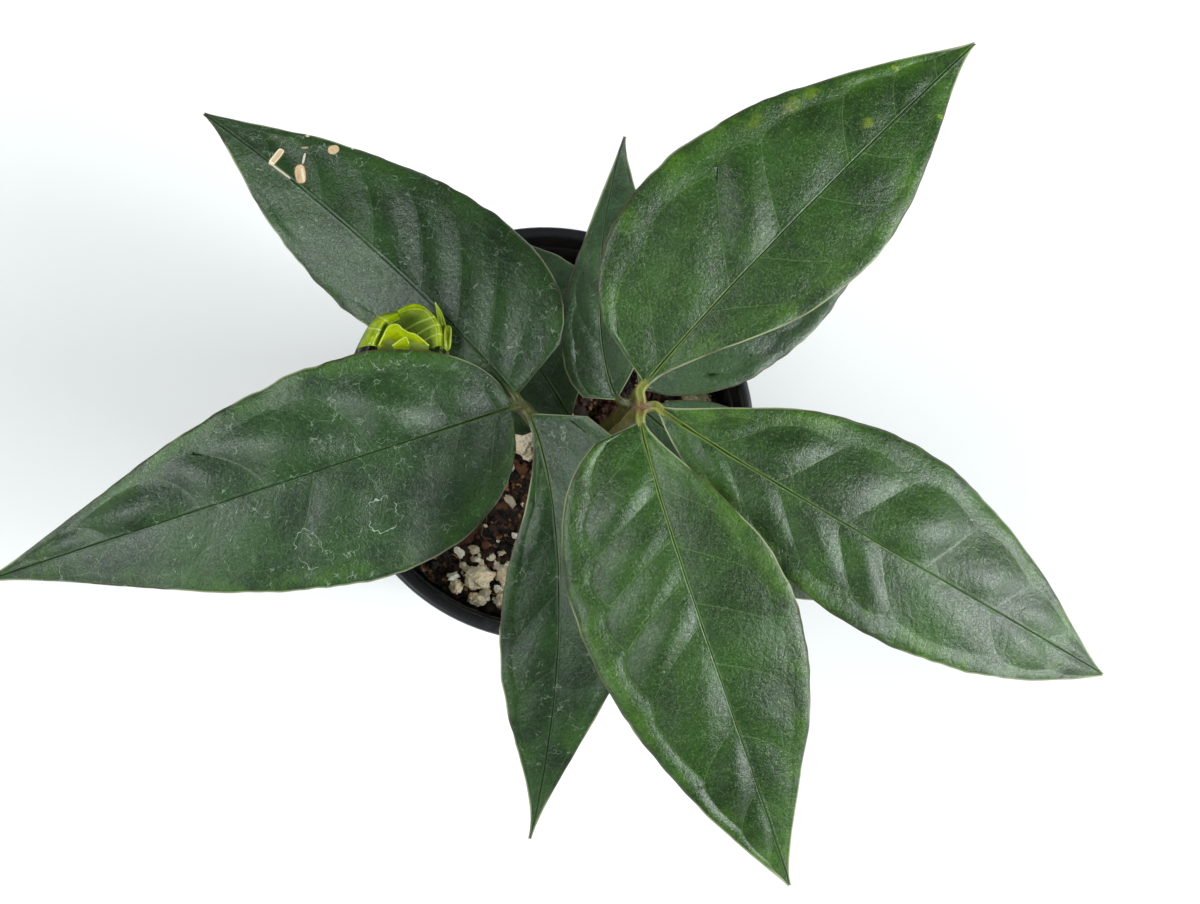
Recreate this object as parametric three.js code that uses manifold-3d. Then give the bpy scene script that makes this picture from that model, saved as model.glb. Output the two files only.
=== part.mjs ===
// A young anthurium with three-part leaves, in a plastic nursery pot.
// Millimetres, +Z up. The origin is the centre of the pot's base, on the surface it stands on.
// Seen from above, +X is to the right and +Y is to the back.

import * as THREE from 'three';
import { mergeVertices } from 'three/addons/utils/BufferGeometryUtils.js';
import Module from 'manifold-3d';

const wasm = await Module();
wasm.setup();

const GAP = 0.3; // clear space between pieces that touch on the real plant
const UP = new THREE.Vector3(0, 0, 1);

// Pot: a 10.5 cm nursery pot with a collar, a turned-out lip and a ring of drain holes
const POT = {
  height: 92, lip: 52.5, lipInside: 49.3, lipDepth: 3.4,
  collar: 51.2, collarFoot: 50.5, collarDepth: 13, body: 49.1, base: 37.5,
  wall: 1.2, floor: 2.2, stepDepth: 6.6, sides: 40,
};
const DRAIN = { count: 8, radius: 4, ring: 26 };

// Potting mix: fills the pot to 15 mm under the rim, with a lumpy top
const SOIL = { level: 77, lump: 0.9, rings: 6 };

// Short stem that all the leaf stalks grow from
const STEM = { x: 5, y: -5, radius: 4.6, foot: 48, top: 86, tip: 90 };

// Leaf blades
const BLADE = {
  thickness: 0.8,       // leathery blade
  rib: 1.1, ribTip: 0.2, // how far the midrib stands out below the blade
  stub: 0.9, tip: 0.35, // half-widths where the blade starts and ends
  cells: 6,             // raised cells on each side of the midrib
  sweep: 0.2,           // how far towards the tip a side vein runs, as a share of the length
  collector: 0.74,      // where the vein along the margin lies, as a share of the half-width
  puff: 0.8,            // height of a raised cell
  ripple: 0.5, waves: 3.2,
};
// Places across a blade, right edge to left edge. A narrow blade takes fewer, or its faces
// would cross in the fold. The midrib is followed in RIB_STEPS steps.
const ACROSS = [-1, -0.74, -0.4, -0.1, 0, 0.1, 0.4, 0.74, 1];
const ACROSS_NARROW = [-1, -0.5, 0, 0.5, 1];
const NARROW = 3;
const RIB_STEPS = 96;

// Each leaflet starts at base and runs for length along its midrib. heading is its direction
// seen from above, in degrees from +X towards +Y, and swing is how far that turns by the tip,
// early for a small bend and evenly for a bend of 1. rise and fall are the slopes at the base
// and the tip, roll and twist the lean about the midrib there. A side's width is its greatest
// half-width, widest is where along the length, taper is how pointed both ends are, fold is
// how far the side is raised at the midrib, and curl is how far it turns up on its way out.
const LEAFLETS = {
  left_leaf_upper_leaflet: {
    base: [-12.4, 1.7, 140.4], length: 101, heading: 124, swing: 16.5, bend: 0.3,
    rise: 3, fall: -24, roll: 0, twist: 0, leaf: 'old',
    left: { width: 13.9, widest: 0.46, taper: 1.5, fold: -14, curl: -20 },
    right: { width: 24.9, widest: 0.25, taper: 1.18, fold: 12, curl: -18 },
  },
  left_leaf_middle_leaflet: {
    base: [-13.2, -0.9, 140.7], length: 124.4, heading: -159.5, swing: -4, bend: 1.2,
    rise: 14, fall: -26, roll: 0, twist: 0, leaf: 'old',
    left: { width: 26, widest: 0.28, taper: 1.45, fold: -6, curl: -13 },
    right: { width: 21, widest: 0.3, taper: 1.36, fold: 16, curl: -11 },
  },
  left_leaf_lower_leaflet: {
    base: [-8.9, -2.6, 139.3], length: 106.7, heading: -53.5, swing: -45.5, bend: 0.3,
    rise: -2, fall: -40, roll: 18, twist: -22, leaf: 'old',
    left: { width: 21, widest: 0.24, taper: 1.7, fold: 18, curl: -5 },
    right: { width: 12.8, widest: 0.48, taper: 2.05, fold: 24, curl: -17 },
  },
  right_leaf_upper_leaflet: {
    base: [13.8, 1.9, 161], length: 109, heading: 54, swing: -10, bend: 0.3,
    rise: 14, fall: -14, roll: 0, twist: 0, leaf: 'top',
    left: { width: 28, widest: 0.29, taper: 1.17, fold: 16, curl: -12 },
    right: { width: 17.6, widest: 0.47, taper: 1.68, fold: 10, curl: -13 },
  },
  right_leaf_middle_leaflet: {
    base: [17.3, -3.8, 160], length: 127, heading: -39, swing: 15.3, bend: 0.33,
    rise: 5, fall: -30, roll: 0, twist: 0, leaf: 'top',
    left: { width: 23.4, widest: 0.45, taper: 1.43, fold: 10, curl: -20 },
    right: { width: 17.8, widest: 0.48, taper: 1.04, fold: -8, curl: -7 },
  },
  right_leaf_lower_leaflet: {
    base: [12.9, -6.8, 160], length: 113.4, heading: -86, swing: 21.5, bend: 0.3,
    rise: 11, fall: -38, roll: 0, twist: 0, leaf: 'top',
    left: { width: 20.2, widest: 0.43, taper: 1.76, fold: 14, curl: -11 },
    right: { width: 24.4, widest: 0.31, taper: 1.16, fold: 6, curl: -24 },
  },
  under_leaf_upper_leaflet: {
    base: [13.5, 5.2, 117], length: 75.5, heading: 138.5, swing: -68.5, bend: 0.3,
    rise: 16, fall: -42, roll: 0, twist: 0, leaf: 'under',
    left: { width: 8.9, widest: 0.15, taper: 2.4, fold: 14, curl: -20 },
    right: { width: 13, widest: 0.36, taper: 1.66, fold: 16, curl: -8 },
  },
  under_leaf_middle_leaflet: {
    base: [19.4, 7.6, 117.3], length: 83.3, heading: 43, swing: -12.4, bend: 1,
    rise: 10, fall: -22, roll: 0, twist: 0, leaf: 'under',
    left: { width: 14, widest: 0.38, taper: 1.1, fold: -6, curl: -16 },
    right: { width: 16, widest: 0.39, taper: 1.16, fold: 10, curl: -15 },
  },
  under_leaf_lower_leaflet: {
    base: [20.3, 1.9, 116.1], length: 73.5, heading: -40, swing: 3.5, bend: 1,
    rise: 6, fall: -26, roll: 0, twist: 0, leaf: 'under',
    left: { width: 16.6, widest: 0.44, taper: 0.9, fold: 8, curl: -13 },
    right: { width: 17, widest: 0.48, taper: 1.16, fold: 8, curl: -13 },
  },
  low_leaf_blade: {
    base: [4.1, 2.8, 99.3], length: 63.3, heading: 125.5, swing: -11, bend: 0.85,
    rise: 12, fall: -16, roll: 0, twist: 0, leaf: 'under',
    left: { width: 16.8, widest: 0.24, taper: 1.17, fold: 6, curl: -13 },
    right: { width: 22, widest: 0.4, taper: 2, fold: 8, curl: -10 },
  },
  new_leaf_middle_leaflet: {
    base: [-31.4, 10.4, 143.4], length: 19.5, heading: 137, swing: 70, bend: 1,
    rise: 34, fall: -62, roll: 6, twist: 0, leaf: 'new',
    left: { width: 6, widest: 0.5, taper: 0.8, fold: -30, curl: -50 },
    right: { width: 6.6, widest: 0.48, taper: 0.9, fold: 30, curl: 80 },
  },
  new_leaf_narrow_leaflet: {
    base: [-28.1, 11.4, 143.7], length: 10.8, heading: 88, swing: 20, bend: 1,
    rise: 26, fall: 6, roll: 0, twist: 0, leaf: 'new',
    left: { width: 1.4, widest: 0.4, taper: 1, fold: 30, curl: 20 },
    right: { width: 1.4, widest: 0.4, taper: 1, fold: 30, curl: 20 },
  },
  new_leaf_small_leaflet: {
    base: [-24.9, 10.3, 143], length: 6.8, heading: 80, swing: 10, bend: 1,
    rise: 20, fall: -30, roll: 0, twist: 0, leaf: 'new',
    left: { width: 1.4, widest: 0.5, taper: 0.7, fold: 15, curl: 40 },
    right: { width: 1.4, widest: 0.5, taper: 0.7, fold: 15, curl: 40 },
  },
};
// The new leaf's blades are short and tightly curled, so they take fewer steps
const STEPS_ALONG = { old: 18, top: 18, under: 16, new: 10, bract: 6 };

// Leaf stalks, from the stem up to the joint where the leaflets meet. knee is the swollen
// stretch under the joint. leaflets names what the small stalks at the joint reach.
const STALKS = {
  left_leaf_stalk: {
    points: [[2.4, -6.8, 84], [0, -6, 104], [-5.2, -3.6, 124], [-10.4, -0.6, 137.6]],
    radius: 1.7, knee: 2.1, branch: 1.15,
    leaflets: ['left_leaf_upper_leaflet', 'left_leaf_middle_leaflet', 'left_leaf_lower_leaflet'],
  },
  right_leaf_stalk: {
    points: [[7.8, -6.3, 84], [9.6, -6.2, 108], [11.8, -5, 136], [13.3, -3.2, 158.6]],
    radius: 1.6, knee: 1.9, branch: 1.1,
    leaflets: ['right_leaf_upper_leaflet', 'right_leaf_middle_leaflet', 'right_leaf_lower_leaflet'],
  },
  under_leaf_stalk: {
    points: [[7.4, -2.8, 84], [11.4, -0.6, 96], [15, 2, 107], [17.2, 4, 115]],
    radius: 1.4, knee: 1.7, branch: 1,
    leaflets: ['under_leaf_upper_leaflet', 'under_leaf_middle_leaflet', 'under_leaf_lower_leaflet'],
  },
  low_leaf_stalk: {
    points: [[4.9, -1.9, 84], [5.3, -1, 89], [5.6, -0.4, 93.5], [5.6, 0.1, 97.3]],
    radius: 1.2, knee: 1.3, branch: 0.9, leaflets: ['low_leaf_blade'],
  },
  new_leaf_stalk: {
    points: [[3.9, -4.4, 87], [-0.5, -2, 99], [-10, 2.6, 115], [-21, 5, 131], [-28.4, 6.4, 141.6]],
    radius: 1.2, knee: 1.3, branch: 0.8,
    leaflets: ['new_leaf_middle_leaflet', 'new_leaf_narrow_leaflet', 'new_leaf_small_leaflet'],
  },
};
// A share of each stalk's upper end is its knee
const STALK = { sides: 8, steps: 9, kneeShare: 0.15, branchSteps: 3 };

// Dry bracts that stand round the foot of the stalks
const BRACT = { length: 17, width: 3.6, reach: 5.55, foot: 79.2, angles: [247, 336] };

// Stones and bark chips half sunk in the mix: place, half-sizes and turn
const PUMICE = [
  { at: [-4.6, -0.9], half: [3.9, 5, 3.4], turn: 8 },
  { at: [-16.8, -36.2], half: [4, 3.2, 2.6], turn: 12 },
  { at: [-9.2, -35.4], half: [3.3, 3.7, 2.8], turn: 70 },
  { at: [-9.8, -42], half: [2.6, 2.4, 2], turn: 30 },
  { at: [-22.6, -38.6], half: [1.8, 1.7, 1.6], turn: 0 },
  { at: [-17.2, -41.8], half: [2.4, 1.6, 1.5], turn: -15 },
  { at: [40, 11], half: [3.8, 2.4, 2.2], turn: -8 },
  { at: [26, 27], half: [3.2, 2.6, 2.2], turn: 40 },
  { at: [-36, 12], half: [2.8, 2.4, 2], turn: 80 },
];
const BARK = [
  { at: [16.6, 6.5], half: [3, 2.2, 1.6], turn: 25 },
  { at: [-20.5, -25], half: [3.4, 2.1, 1.4], turn: 55 },
  { at: [-34.5, -28.5], half: [3, 1.9, 1.3], turn: 130 },
  { at: [30, -26], half: [4, 2.4, 1.6], turn: -30 },
];

const COLOURS = {
  old: 0x2f4636, top: 0x38562f, under: 0x2b3d2e, new: 0x8fa31c, stalk: 0x7c7a34,
  bract: 0x8a6440, pot: 0x18191b, soil: 0x2c1f17, pumice: 0xd8cbb6, bark: 0x8a5a38,
};

const root = new THREE.Group();

function material(colour, roughness) {
  return new THREE.MeshStandardMaterial({ color: COLOURS[colour], roughness, metalness: 0 });
}

function add(name, geometry, colour, roughness = 0.5) {
  geometry.computeVertexNormals();
  const mesh = new THREE.Mesh(geometry, material(colour, roughness));
  mesh.name = name;
  root.add(mesh);
}

function solidOf(geometry) {
  const bare = geometry.clone();
  bare.deleteAttribute('normal');
  bare.deleteAttribute('uv');
  const merged = mergeVertices(bare, 1e-4);
  return new wasm.Manifold(new wasm.Mesh({
    numProp: 3,
    vertProperties: new Float32Array(merged.attributes.position.array),
    triVerts: new Uint32Array(merged.index.array),
  }));
}

function geometryOf(solid) {
  const mesh = solid.getMesh();
  const geometry = new THREE.BufferGeometry();
  geometry.setAttribute('position', new THREE.BufferAttribute(mesh.vertProperties, 3));
  geometry.setIndex(new THREE.BufferAttribute(mesh.triVerts, 1));
  return geometry;
}

function geometryFrom(points, faces) {
  const geometry = new THREE.BufferGeometry();
  geometry.setAttribute('position', new THREE.Float32BufferAttribute(points.flat(), 3));
  geometry.setIndex(faces.flat());
  return geometry;
}

const radians = THREE.MathUtils.degToRad;

// Small repeatable wobble between -1 and 1, for stones and the mix
function wobble(x, y, z) {
  return Math.sin(2.1 * x + 1.3 * z) * Math.cos(1.7 * y - 0.8 * x) + 0.5 * Math.sin(4.3 * y + 3.1 * z + x);
}

// Where the midrib runs: a frame at each step, pointing along, to the left side and up
function midribOf(leaflet, steps) {
  const point = new THREE.Vector3(...leaflet.base);
  const frames = [];
  const frameAt = (s) => {
    const heading = radians(leaflet.heading + leaflet.swing * s ** leaflet.bend);
    const slope = radians(leaflet.rise + (leaflet.fall - leaflet.rise) * s);
    const lean = radians(leaflet.roll + leaflet.twist * s);
    const along = new THREE.Vector3(
      Math.cos(slope) * Math.cos(heading), Math.cos(slope) * Math.sin(heading), Math.sin(slope));
    const level = new THREE.Vector3(-Math.sin(heading), Math.cos(heading), 0);
    const over = new THREE.Vector3().crossVectors(along, level);
    const left = level.clone().multiplyScalar(Math.cos(lean)).addScaledVector(over, Math.sin(lean));
    const up = over.clone().multiplyScalar(Math.cos(lean)).addScaledVector(level, -Math.sin(lean));
    return { along, left, up };
  };
  for (let i = 0; i <= RIB_STEPS; i += 1) {
    if ((i * steps) % RIB_STEPS < steps) frames.push({ point: point.clone(), ...frameAt(i / RIB_STEPS) });
    point.addScaledVector(frameAt((i + 0.5) / RIB_STEPS).along, leaflet.length / RIB_STEPS);
  }
  return frames;
}

// Share of the greatest half-width at s, from 0 at the base to 0 at the tip
function fullness(side, s) {
  const inner = side.taper * side.widest / (1 - side.widest);
  return (s / side.widest) ** inner * ((1 - s) / (1 - side.widest)) ** side.taper;
}

// Height of the raised cells between the side veins, inside the vein along the margin
function cellHeight(s, v) {
  if (v >= BLADE.collector) return 0;
  const between = Math.abs(Math.sin(Math.PI * BLADE.cells * (s - BLADE.sweep * v)));
  return BLADE.puff * Math.sqrt(between) * Math.sin(Math.PI * v / BLADE.collector);
}

// A point of the blade's middle surface, s along the midrib and v across, -1 right to 1 left
function bladePoint(leaflet, frame, s, v) {
  const side = v > 0 ? leaflet.left : leaflet.right;
  const full = fullness(side, s);
  const width = BLADE.stub * (1 - s) + BLADE.tip * s + side.width * full;
  const out = Math.abs(v);
  const fold = radians(side.fold * (1 - s) ** 1.5);
  const curl = radians(side.curl) * full + 1e-6;
  const across = width * (Math.sin(fold + curl * out) - Math.sin(fold)) / curl;
  let lift = width * (Math.cos(fold) - Math.cos(fold + curl * out)) / curl;
  if (side.width > 8) {
    lift += full * cellHeight(s, out);
    lift += BLADE.ripple * full * v * v * Math.sin(2 * Math.PI * BLADE.waves * s + side.width);
  }
  return frame.point.clone()
    .addScaledVector(frame.left, Math.sign(v) * across)
    .addScaledVector(frame.up, lift);
}

// A closed blade: an upper and a lower face with the same triangles, joined round the edge
function bladeGeometry(leaflet) {
  const steps = STEPS_ALONG[leaflet.leaf];
  const frames = midribOf(leaflet, steps);
  const places = leaflet.left.width < NARROW ? ACROSS_NARROW : ACROSS;
  const rows = frames.map((frame, i) => places.map((v) => bladePoint(leaflet, frame, i / steps, v)));
  const columns = places.length;
  const middle = (columns - 1) / 2;
  const upper = [];
  const lower = [];
  rows.forEach((row, i) => row.forEach((point, j) => {
    const along = rows[Math.min(i + 1, steps)][j].clone().sub(rows[Math.max(i - 1, 0)][j]);
    const left = row[Math.min(j + 1, columns - 1)].clone().sub(row[Math.max(j - 1, 0)]);
    const normal = along.cross(left).normalize();
    const rib = j === middle ? BLADE.rib + (BLADE.ribTip - BLADE.rib) * i / steps : 0;
    const scale = leaflet.leaf === 'new' || leaflet.leaf === 'bract' ? 0.2 : 1;
    upper.push(point.clone().addScaledVector(normal, BLADE.thickness / 2).toArray());
    lower.push(point.clone().addScaledVector(normal, -BLADE.thickness / 2 - rib * scale).toArray());
  }));
  const count = upper.length;
  const faces = [];
  const at = (i, j) => i * columns + j;
  for (let i = 0; i < steps; i += 1) {
    for (let j = 0; j < columns - 1; j += 1) {
      const [a, b, c, d] = [at(i, j), at(i + 1, j), at(i + 1, j + 1), at(i, j + 1)];
      faces.push([a, b, c], [a, c, d]);
      faces.push([a + count, c + count, b + count], [a + count, d + count, c + count]);
    }
  }
  const wall = (a, b) => faces.push([a, a + count, b + count], [a, b + count, b]);
  for (let i = 0; i < steps; i += 1) {
    wall(at(i, 0), at(i + 1, 0));
    wall(at(i + 1, columns - 1), at(i, columns - 1));
  }
  for (let j = 0; j < columns - 1; j += 1) {
    wall(at(0, j + 1), at(0, j));
    wall(at(steps, j), at(steps, j + 1));
  }
  return geometryFrom([...upper, ...lower], faces);
}

// A round stalk along a smooth curve, with its own radius at each share of the length
function tube(points, radiusAt, sides, steps) {
  const curve = new THREE.CatmullRomCurve3(points.map((p) => new THREE.Vector3(...p)));
  const { normals, binormals } = curve.computeFrenetFrames(steps, false);
  const ring = [];
  const faces = [];
  for (let i = 0; i <= steps; i += 1) {
    const centre = curve.getPointAt(i / steps);
    for (let k = 0; k < sides; k += 1) {
      const turn = 2 * Math.PI * k / sides;
      ring.push(centre.clone()
        .addScaledVector(normals[i], Math.cos(turn) * radiusAt(i / steps))
        .addScaledVector(binormals[i], Math.sin(turn) * radiusAt(i / steps)).toArray());
    }
  }
  for (let i = 0; i < steps; i += 1) {
    for (let k = 0; k < sides; k += 1) {
      const [a, b] = [i * sides + k, i * sides + (k + 1) % sides];
      faces.push([a, b, b + sides], [a, b + sides, a + sides]);
    }
  }
  const last = steps * sides;
  for (let k = 1; k < sides - 1; k += 1) {
    faces.push([0, k + 1, k], [last, last + k, last + k + 1]);
  }
  return geometryFrom(ring, faces);
}

function stalkRadius(stalk) {
  const full = 1 - STALK.kneeShare;
  return (s) => stalk.radius + (stalk.knee - stalk.radius) * THREE.MathUtils.smoothstep(s, full - 0.1, full);
}

// A small stalk from the joint to just short of a leaflet's base
function branchGeometry(stalk, leaflet) {
  const joint = new THREE.Vector3(...stalk.points.at(-1));
  const base = new THREE.Vector3(...leaflet.base);
  const { along } = midribOf(leaflet, 1)[0];
  const end = base.clone().addScaledVector(along, -GAP - 0.1);
  const bendAt = end.clone().addScaledVector(along, -0.35 * end.distanceTo(joint));
  const start = joint.clone().addScaledVector(UP, -0.8);
  const points = [start, joint.clone().lerp(bendAt, 0.5), bendAt, end].map((p) => p.toArray());
  return tube(points, () => stalk.branch, STALK.sides, STALK.branchSteps);
}

function stalkGeometry(stalk) {
  let solid = solidOf(tube(stalk.points, stalkRadius(stalk), STALK.sides, STALK.steps));
  for (const name of stalk.leaflets) {
    solid = solid.add(solidOf(branchGeometry(stalk, LEAFLETS[name])));
  }
  return geometryOf(solid);
}

// Height of the pot's inner wall radius, from the floor to under the step
function potInside(z) {
  const share = (z - POT.floor) / (POT.height - POT.collarDepth - POT.floor);
  return POT.base - POT.wall + (POT.body - POT.base) * share;
}

function drainHoles() {
  const holes = [];
  for (let i = 0; i < DRAIN.count; i += 1) {
    const turn = 2 * Math.PI * i / DRAIN.count;
    const hole = new THREE.CylinderGeometry(DRAIN.radius, DRAIN.radius, 4 * POT.floor, 12);
    hole.rotateX(Math.PI / 2);
    hole.translate(DRAIN.ring * Math.cos(turn), DRAIN.ring * Math.sin(turn), 0);
    holes.push(hole);
  }
  return holes;
}

function potGeometry() {
  const top = POT.height;
  const collarFoot = top - POT.collarDepth;
  const step = top - POT.stepDepth;
  const profile = [
    [0, 0], [POT.base - 1, 0], [POT.base, 1], [POT.body, collarFoot - 0.8],
    [POT.collarFoot, collarFoot], [POT.collar, top - POT.lipDepth], [POT.lip, top - POT.lipDepth + 0.5],
    [POT.lip, top - 0.6], [POT.lip - 0.6, top], [POT.lipInside + 0.6, top], [POT.lipInside, top - 0.6],
    [POT.lipInside - 0.3, step + 0.5], [POT.lipInside - 1.1, step], [potInside(collarFoot), collarFoot],
    [potInside(POT.floor), POT.floor], [0, POT.floor],
  ];
  const shell = new THREE.LatheGeometry(profile.map(([r, z]) => new THREE.Vector2(r, z)), POT.sides);
  shell.rotateX(Math.PI / 2);
  return drainHoles().reduce((solid, hole) => solid.subtract(solidOf(hole)), solidOf(shell));
}

function soilTop(x, y) {
  const calm = 1 - Math.min(1, Math.hypot(x, y) / 47) ** 6;
  return SOIL.level + SOIL.lump * calm * wobble(x / 6, y / 6, 0.4);
}

// The mix: a lumpy disc on a plug that follows the pot's inner wall
function soilGeometry() {
  const points = [[0, 0, soilTop(0, 0)]];
  const faces = [];
  const foot = POT.floor + GAP;
  const ringAt = (radius, height) => {
    for (let k = 0; k < POT.sides; k += 1) {
      const turn = 2 * Math.PI * k / POT.sides;
      const [x, y] = [radius * Math.cos(turn), radius * Math.sin(turn)];
      points.push([x, y, height ?? soilTop(x, y)]);
    }
  };
  const edge = potInside(SOIL.level) - GAP;
  for (let i = 1; i <= SOIL.rings; i += 1) ringAt(edge * i / SOIL.rings);
  ringAt(potInside(foot) - GAP, foot);
  points.push([0, 0, foot]);
  const n = POT.sides;
  for (let k = 0; k < n; k += 1) {
    const next = (k + 1) % n;
    faces.push([0, 1 + k, 1 + next]);
    for (let i = 0; i < SOIL.rings; i += 1) {
      const [a, b] = [1 + i * n + k, 1 + i * n + next];
      faces.push([a, a + n, b + n], [a, b + n, b]);
    }
    const last = 1 + SOIL.rings * n;
    faces.push([points.length - 1, last + next, last + k]);
  }
  return geometryFrom(points, faces);
}

function stemGeometry(grow = 0) {
  const [r, up] = [STEM.radius + grow, STEM.tip + grow];
  const profile = [[0, STEM.foot - grow], [r, STEM.foot - grow], [r, STEM.top], [0.7 * r, up - 1.2], [0, up]];
  const stem = new THREE.LatheGeometry(profile.map(([x, z]) => new THREE.Vector2(x, z)), 14);
  stem.rotateX(Math.PI / 2);
  stem.translate(STEM.x, STEM.y, 0);
  return stem;
}

// A rough lump sunk a little below the surface of the mix, grown all round for its hollow
function lumpGeometry({ at: [x, y], half, turn }, grow = 0) {
  const lump = new THREE.IcosahedronGeometry(1, 1);
  lump.deleteAttribute('normal');
  lump.deleteAttribute('uv');
  const rock = mergeVertices(lump, 1e-4);
  const corner = new THREE.Vector3();
  for (let i = 0; i < rock.attributes.position.count; i += 1) {
    corner.fromBufferAttribute(rock.attributes.position, i);
    const rough = 1 + 0.09 * wobble(3 * corner.x + x, 3 * corner.y + y, 3 * corner.z);
    corner.multiplyScalar(rough);
    corner.set(corner.x * (half[0] + grow), corner.y * (half[1] + grow), corner.z * (half[2] + grow));
    rock.attributes.position.setXYZ(i, corner.x, corner.y, corner.z);
  }
  rock.rotateZ(radians(turn));
  rock.translate(x, y, SOIL.level + 0.35 * half[2]);
  return rock;
}

function buildPotAndMix() {
  add('pot', geometryOf(potGeometry()), 'pot', 0.4);
  let mix = solidOf(soilGeometry()).subtract(solidOf(stemGeometry(GAP)));
  for (const lump of [...PUMICE, ...BARK]) mix = mix.subtract(solidOf(lumpGeometry(lump, GAP)));
  add('soil', geometryOf(mix), 'soil', 0.95);
  PUMICE.forEach((lump, i) => add(`pumice_${i + 1}`, lumpGeometry(lump), 'pumice', 0.9));
  BARK.forEach((lump, i) => add(`bark_chip_${i + 1}`, lumpGeometry(lump), 'bark', 0.9));
}

// The stem has a socket round the foot of each stalk
function buildStemAndStalks() {
  let stem = solidOf(stemGeometry());
  for (const stalk of Object.values(STALKS)) {
    const socket = tube(stalk.points, () => stalk.radius + GAP, STALK.sides, STALK.steps);
    stem = stem.subtract(solidOf(socket));
  }
  add('stem', geometryOf(stem), 'bract', 0.8);
  for (const [name, stalk] of Object.entries(STALKS)) add(name, stalkGeometry(stalk), 'stalk', 0.45);
}

function buildLeaves() {
  for (const [name, leaflet] of Object.entries(LEAFLETS)) {
    add(name, bladeGeometry(leaflet), leaflet.leaf, leaflet.leaf === 'new' ? 0.25 : 0.4);
  }
}

function buildBracts() {
  const hug = -THREE.MathUtils.radToDeg(BRACT.width / BRACT.reach);
  const side = { width: BRACT.width, widest: 0.35, taper: 0.9, fold: 0, curl: hug };
  BRACT.angles.forEach((angle, i) => {
    const turn = radians(angle);
    const base = [STEM.x + BRACT.reach * Math.cos(turn), STEM.y + BRACT.reach * Math.sin(turn), BRACT.foot];
    const bract = {
      base, length: BRACT.length, heading: angle + 180, swing: 0, bend: 1, rise: 96, fall: 118,
      roll: 0, twist: 0, leaf: 'bract', left: side, right: side,
    };
    add(`bract_${i + 1}`, bladeGeometry(bract), 'bract', 0.8);
  });
}

buildPotAndMix();
buildStemAndStalks();
buildLeaves();
buildBracts();

export default root;
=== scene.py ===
"""A potted anthurium with three-part leaves: fine blades, stalks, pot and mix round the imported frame."""

import math
import random

import bpy
import numpy as np
from mathutils import Euler, Matrix, Vector, noise
from mathutils.kdtree import KDTree


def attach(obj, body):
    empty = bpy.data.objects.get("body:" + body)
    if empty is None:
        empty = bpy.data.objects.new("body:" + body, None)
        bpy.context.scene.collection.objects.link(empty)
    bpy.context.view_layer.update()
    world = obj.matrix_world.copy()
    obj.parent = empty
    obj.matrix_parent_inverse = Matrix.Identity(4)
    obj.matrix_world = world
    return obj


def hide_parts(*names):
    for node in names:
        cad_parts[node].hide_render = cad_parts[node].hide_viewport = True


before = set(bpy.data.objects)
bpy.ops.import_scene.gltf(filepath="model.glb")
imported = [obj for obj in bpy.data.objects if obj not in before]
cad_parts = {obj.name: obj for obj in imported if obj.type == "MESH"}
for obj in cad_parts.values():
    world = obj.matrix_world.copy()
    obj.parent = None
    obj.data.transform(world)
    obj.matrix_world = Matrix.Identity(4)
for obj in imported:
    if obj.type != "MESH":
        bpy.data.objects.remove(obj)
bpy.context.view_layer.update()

MM = 0.001
BODY = "root"

# Pot and mix, in millimetres
POT = dict(height=92, lip=52.5, lip_inside=49.3, lip_depth=3.4, collar=51.2, collar_foot=50.5,
           collar_depth=13, body=49.1, base=37.5, wall=1.2, floor=2.2, step_depth=6.6)
DRAIN = dict(count=8, radius=4, ring=26)
MIX_LEVEL = 77
MIX_STEPS = 160        # steps across the mix's top
CALM_REACH = 47        # the mix's broad waves have died away this far out
STREWN_REACH = 46.5    # and no loose bit's middle lies further out than this
STEM = dict(x=5, y=-5, radius=4.6, foot=48, scars=86, scar_step=1.4, tip=90)

# Blades, in millimetres
THICKNESS = 0.8
THIN_EDGE, THIN_BAND = 0.45, 1.6   # the margin's share of the thickness, and how wide the thin band is
SHEET_THICKNESS = 0.35             # of the new leaf's curled sheets
ROWS, COLUMNS = 160, 36            # steps along a blade and across half of it
SHEET_ROWS, SHEET_COLUMNS = 36, 72
STUB, TIP = 0.9, 0.35              # half-widths where a blade starts and ends
COLLECTOR = 0.72                   # where the vein along the margin lies, as a share of the half-width
SCALLOP = 0.09                     # and how far it swings between two side veins
WAVES = (3.2, 7.3)                 # waves of the margin along a blade: long ones and short ones
RAGGED = 0.65                      # depth of the margin's small scallops


def side(width, widest, taper, fold, curl, puff=1.0, roots=(0.03, 0.16, 0.31, 0.47, 0.63, 0.78, 0.9),
         sweeps=None, bow=0.3, rim=0.5):
    """Half a blade. Its side veins start at roots on the midrib and end sweeps further on, at the vein along
    the margin. bow is how much of that sweep comes late, puff how high the cells between them stand and rim
    how high the strip outside them rises, in millimetres."""
    sweeps = sweeps or [0.17 * (1 - root) for root in roots]
    return dict(width=width, widest=widest, taper=taper, fold=fold, curl=curl, puff=puff,
                roots=roots, sweeps=sweeps, bow=bow, rim=rim)


def leaflet(look, base, length, heading, swing, bend, rise, fall, left, right, roll=0, twist=0):
    """A blade. Its midrib leaves base at heading and rise, turns by swing, which comes later the greater bend
    is, and ends at the slope fall. It leans over by roll and then twist. Angles are in degrees."""
    return dict(look=look, base=base, length=length, heading=heading, swing=swing, bend=bend, rise=rise,
                fall=fall, left=left, right=right, roll=roll, twist=twist)


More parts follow.
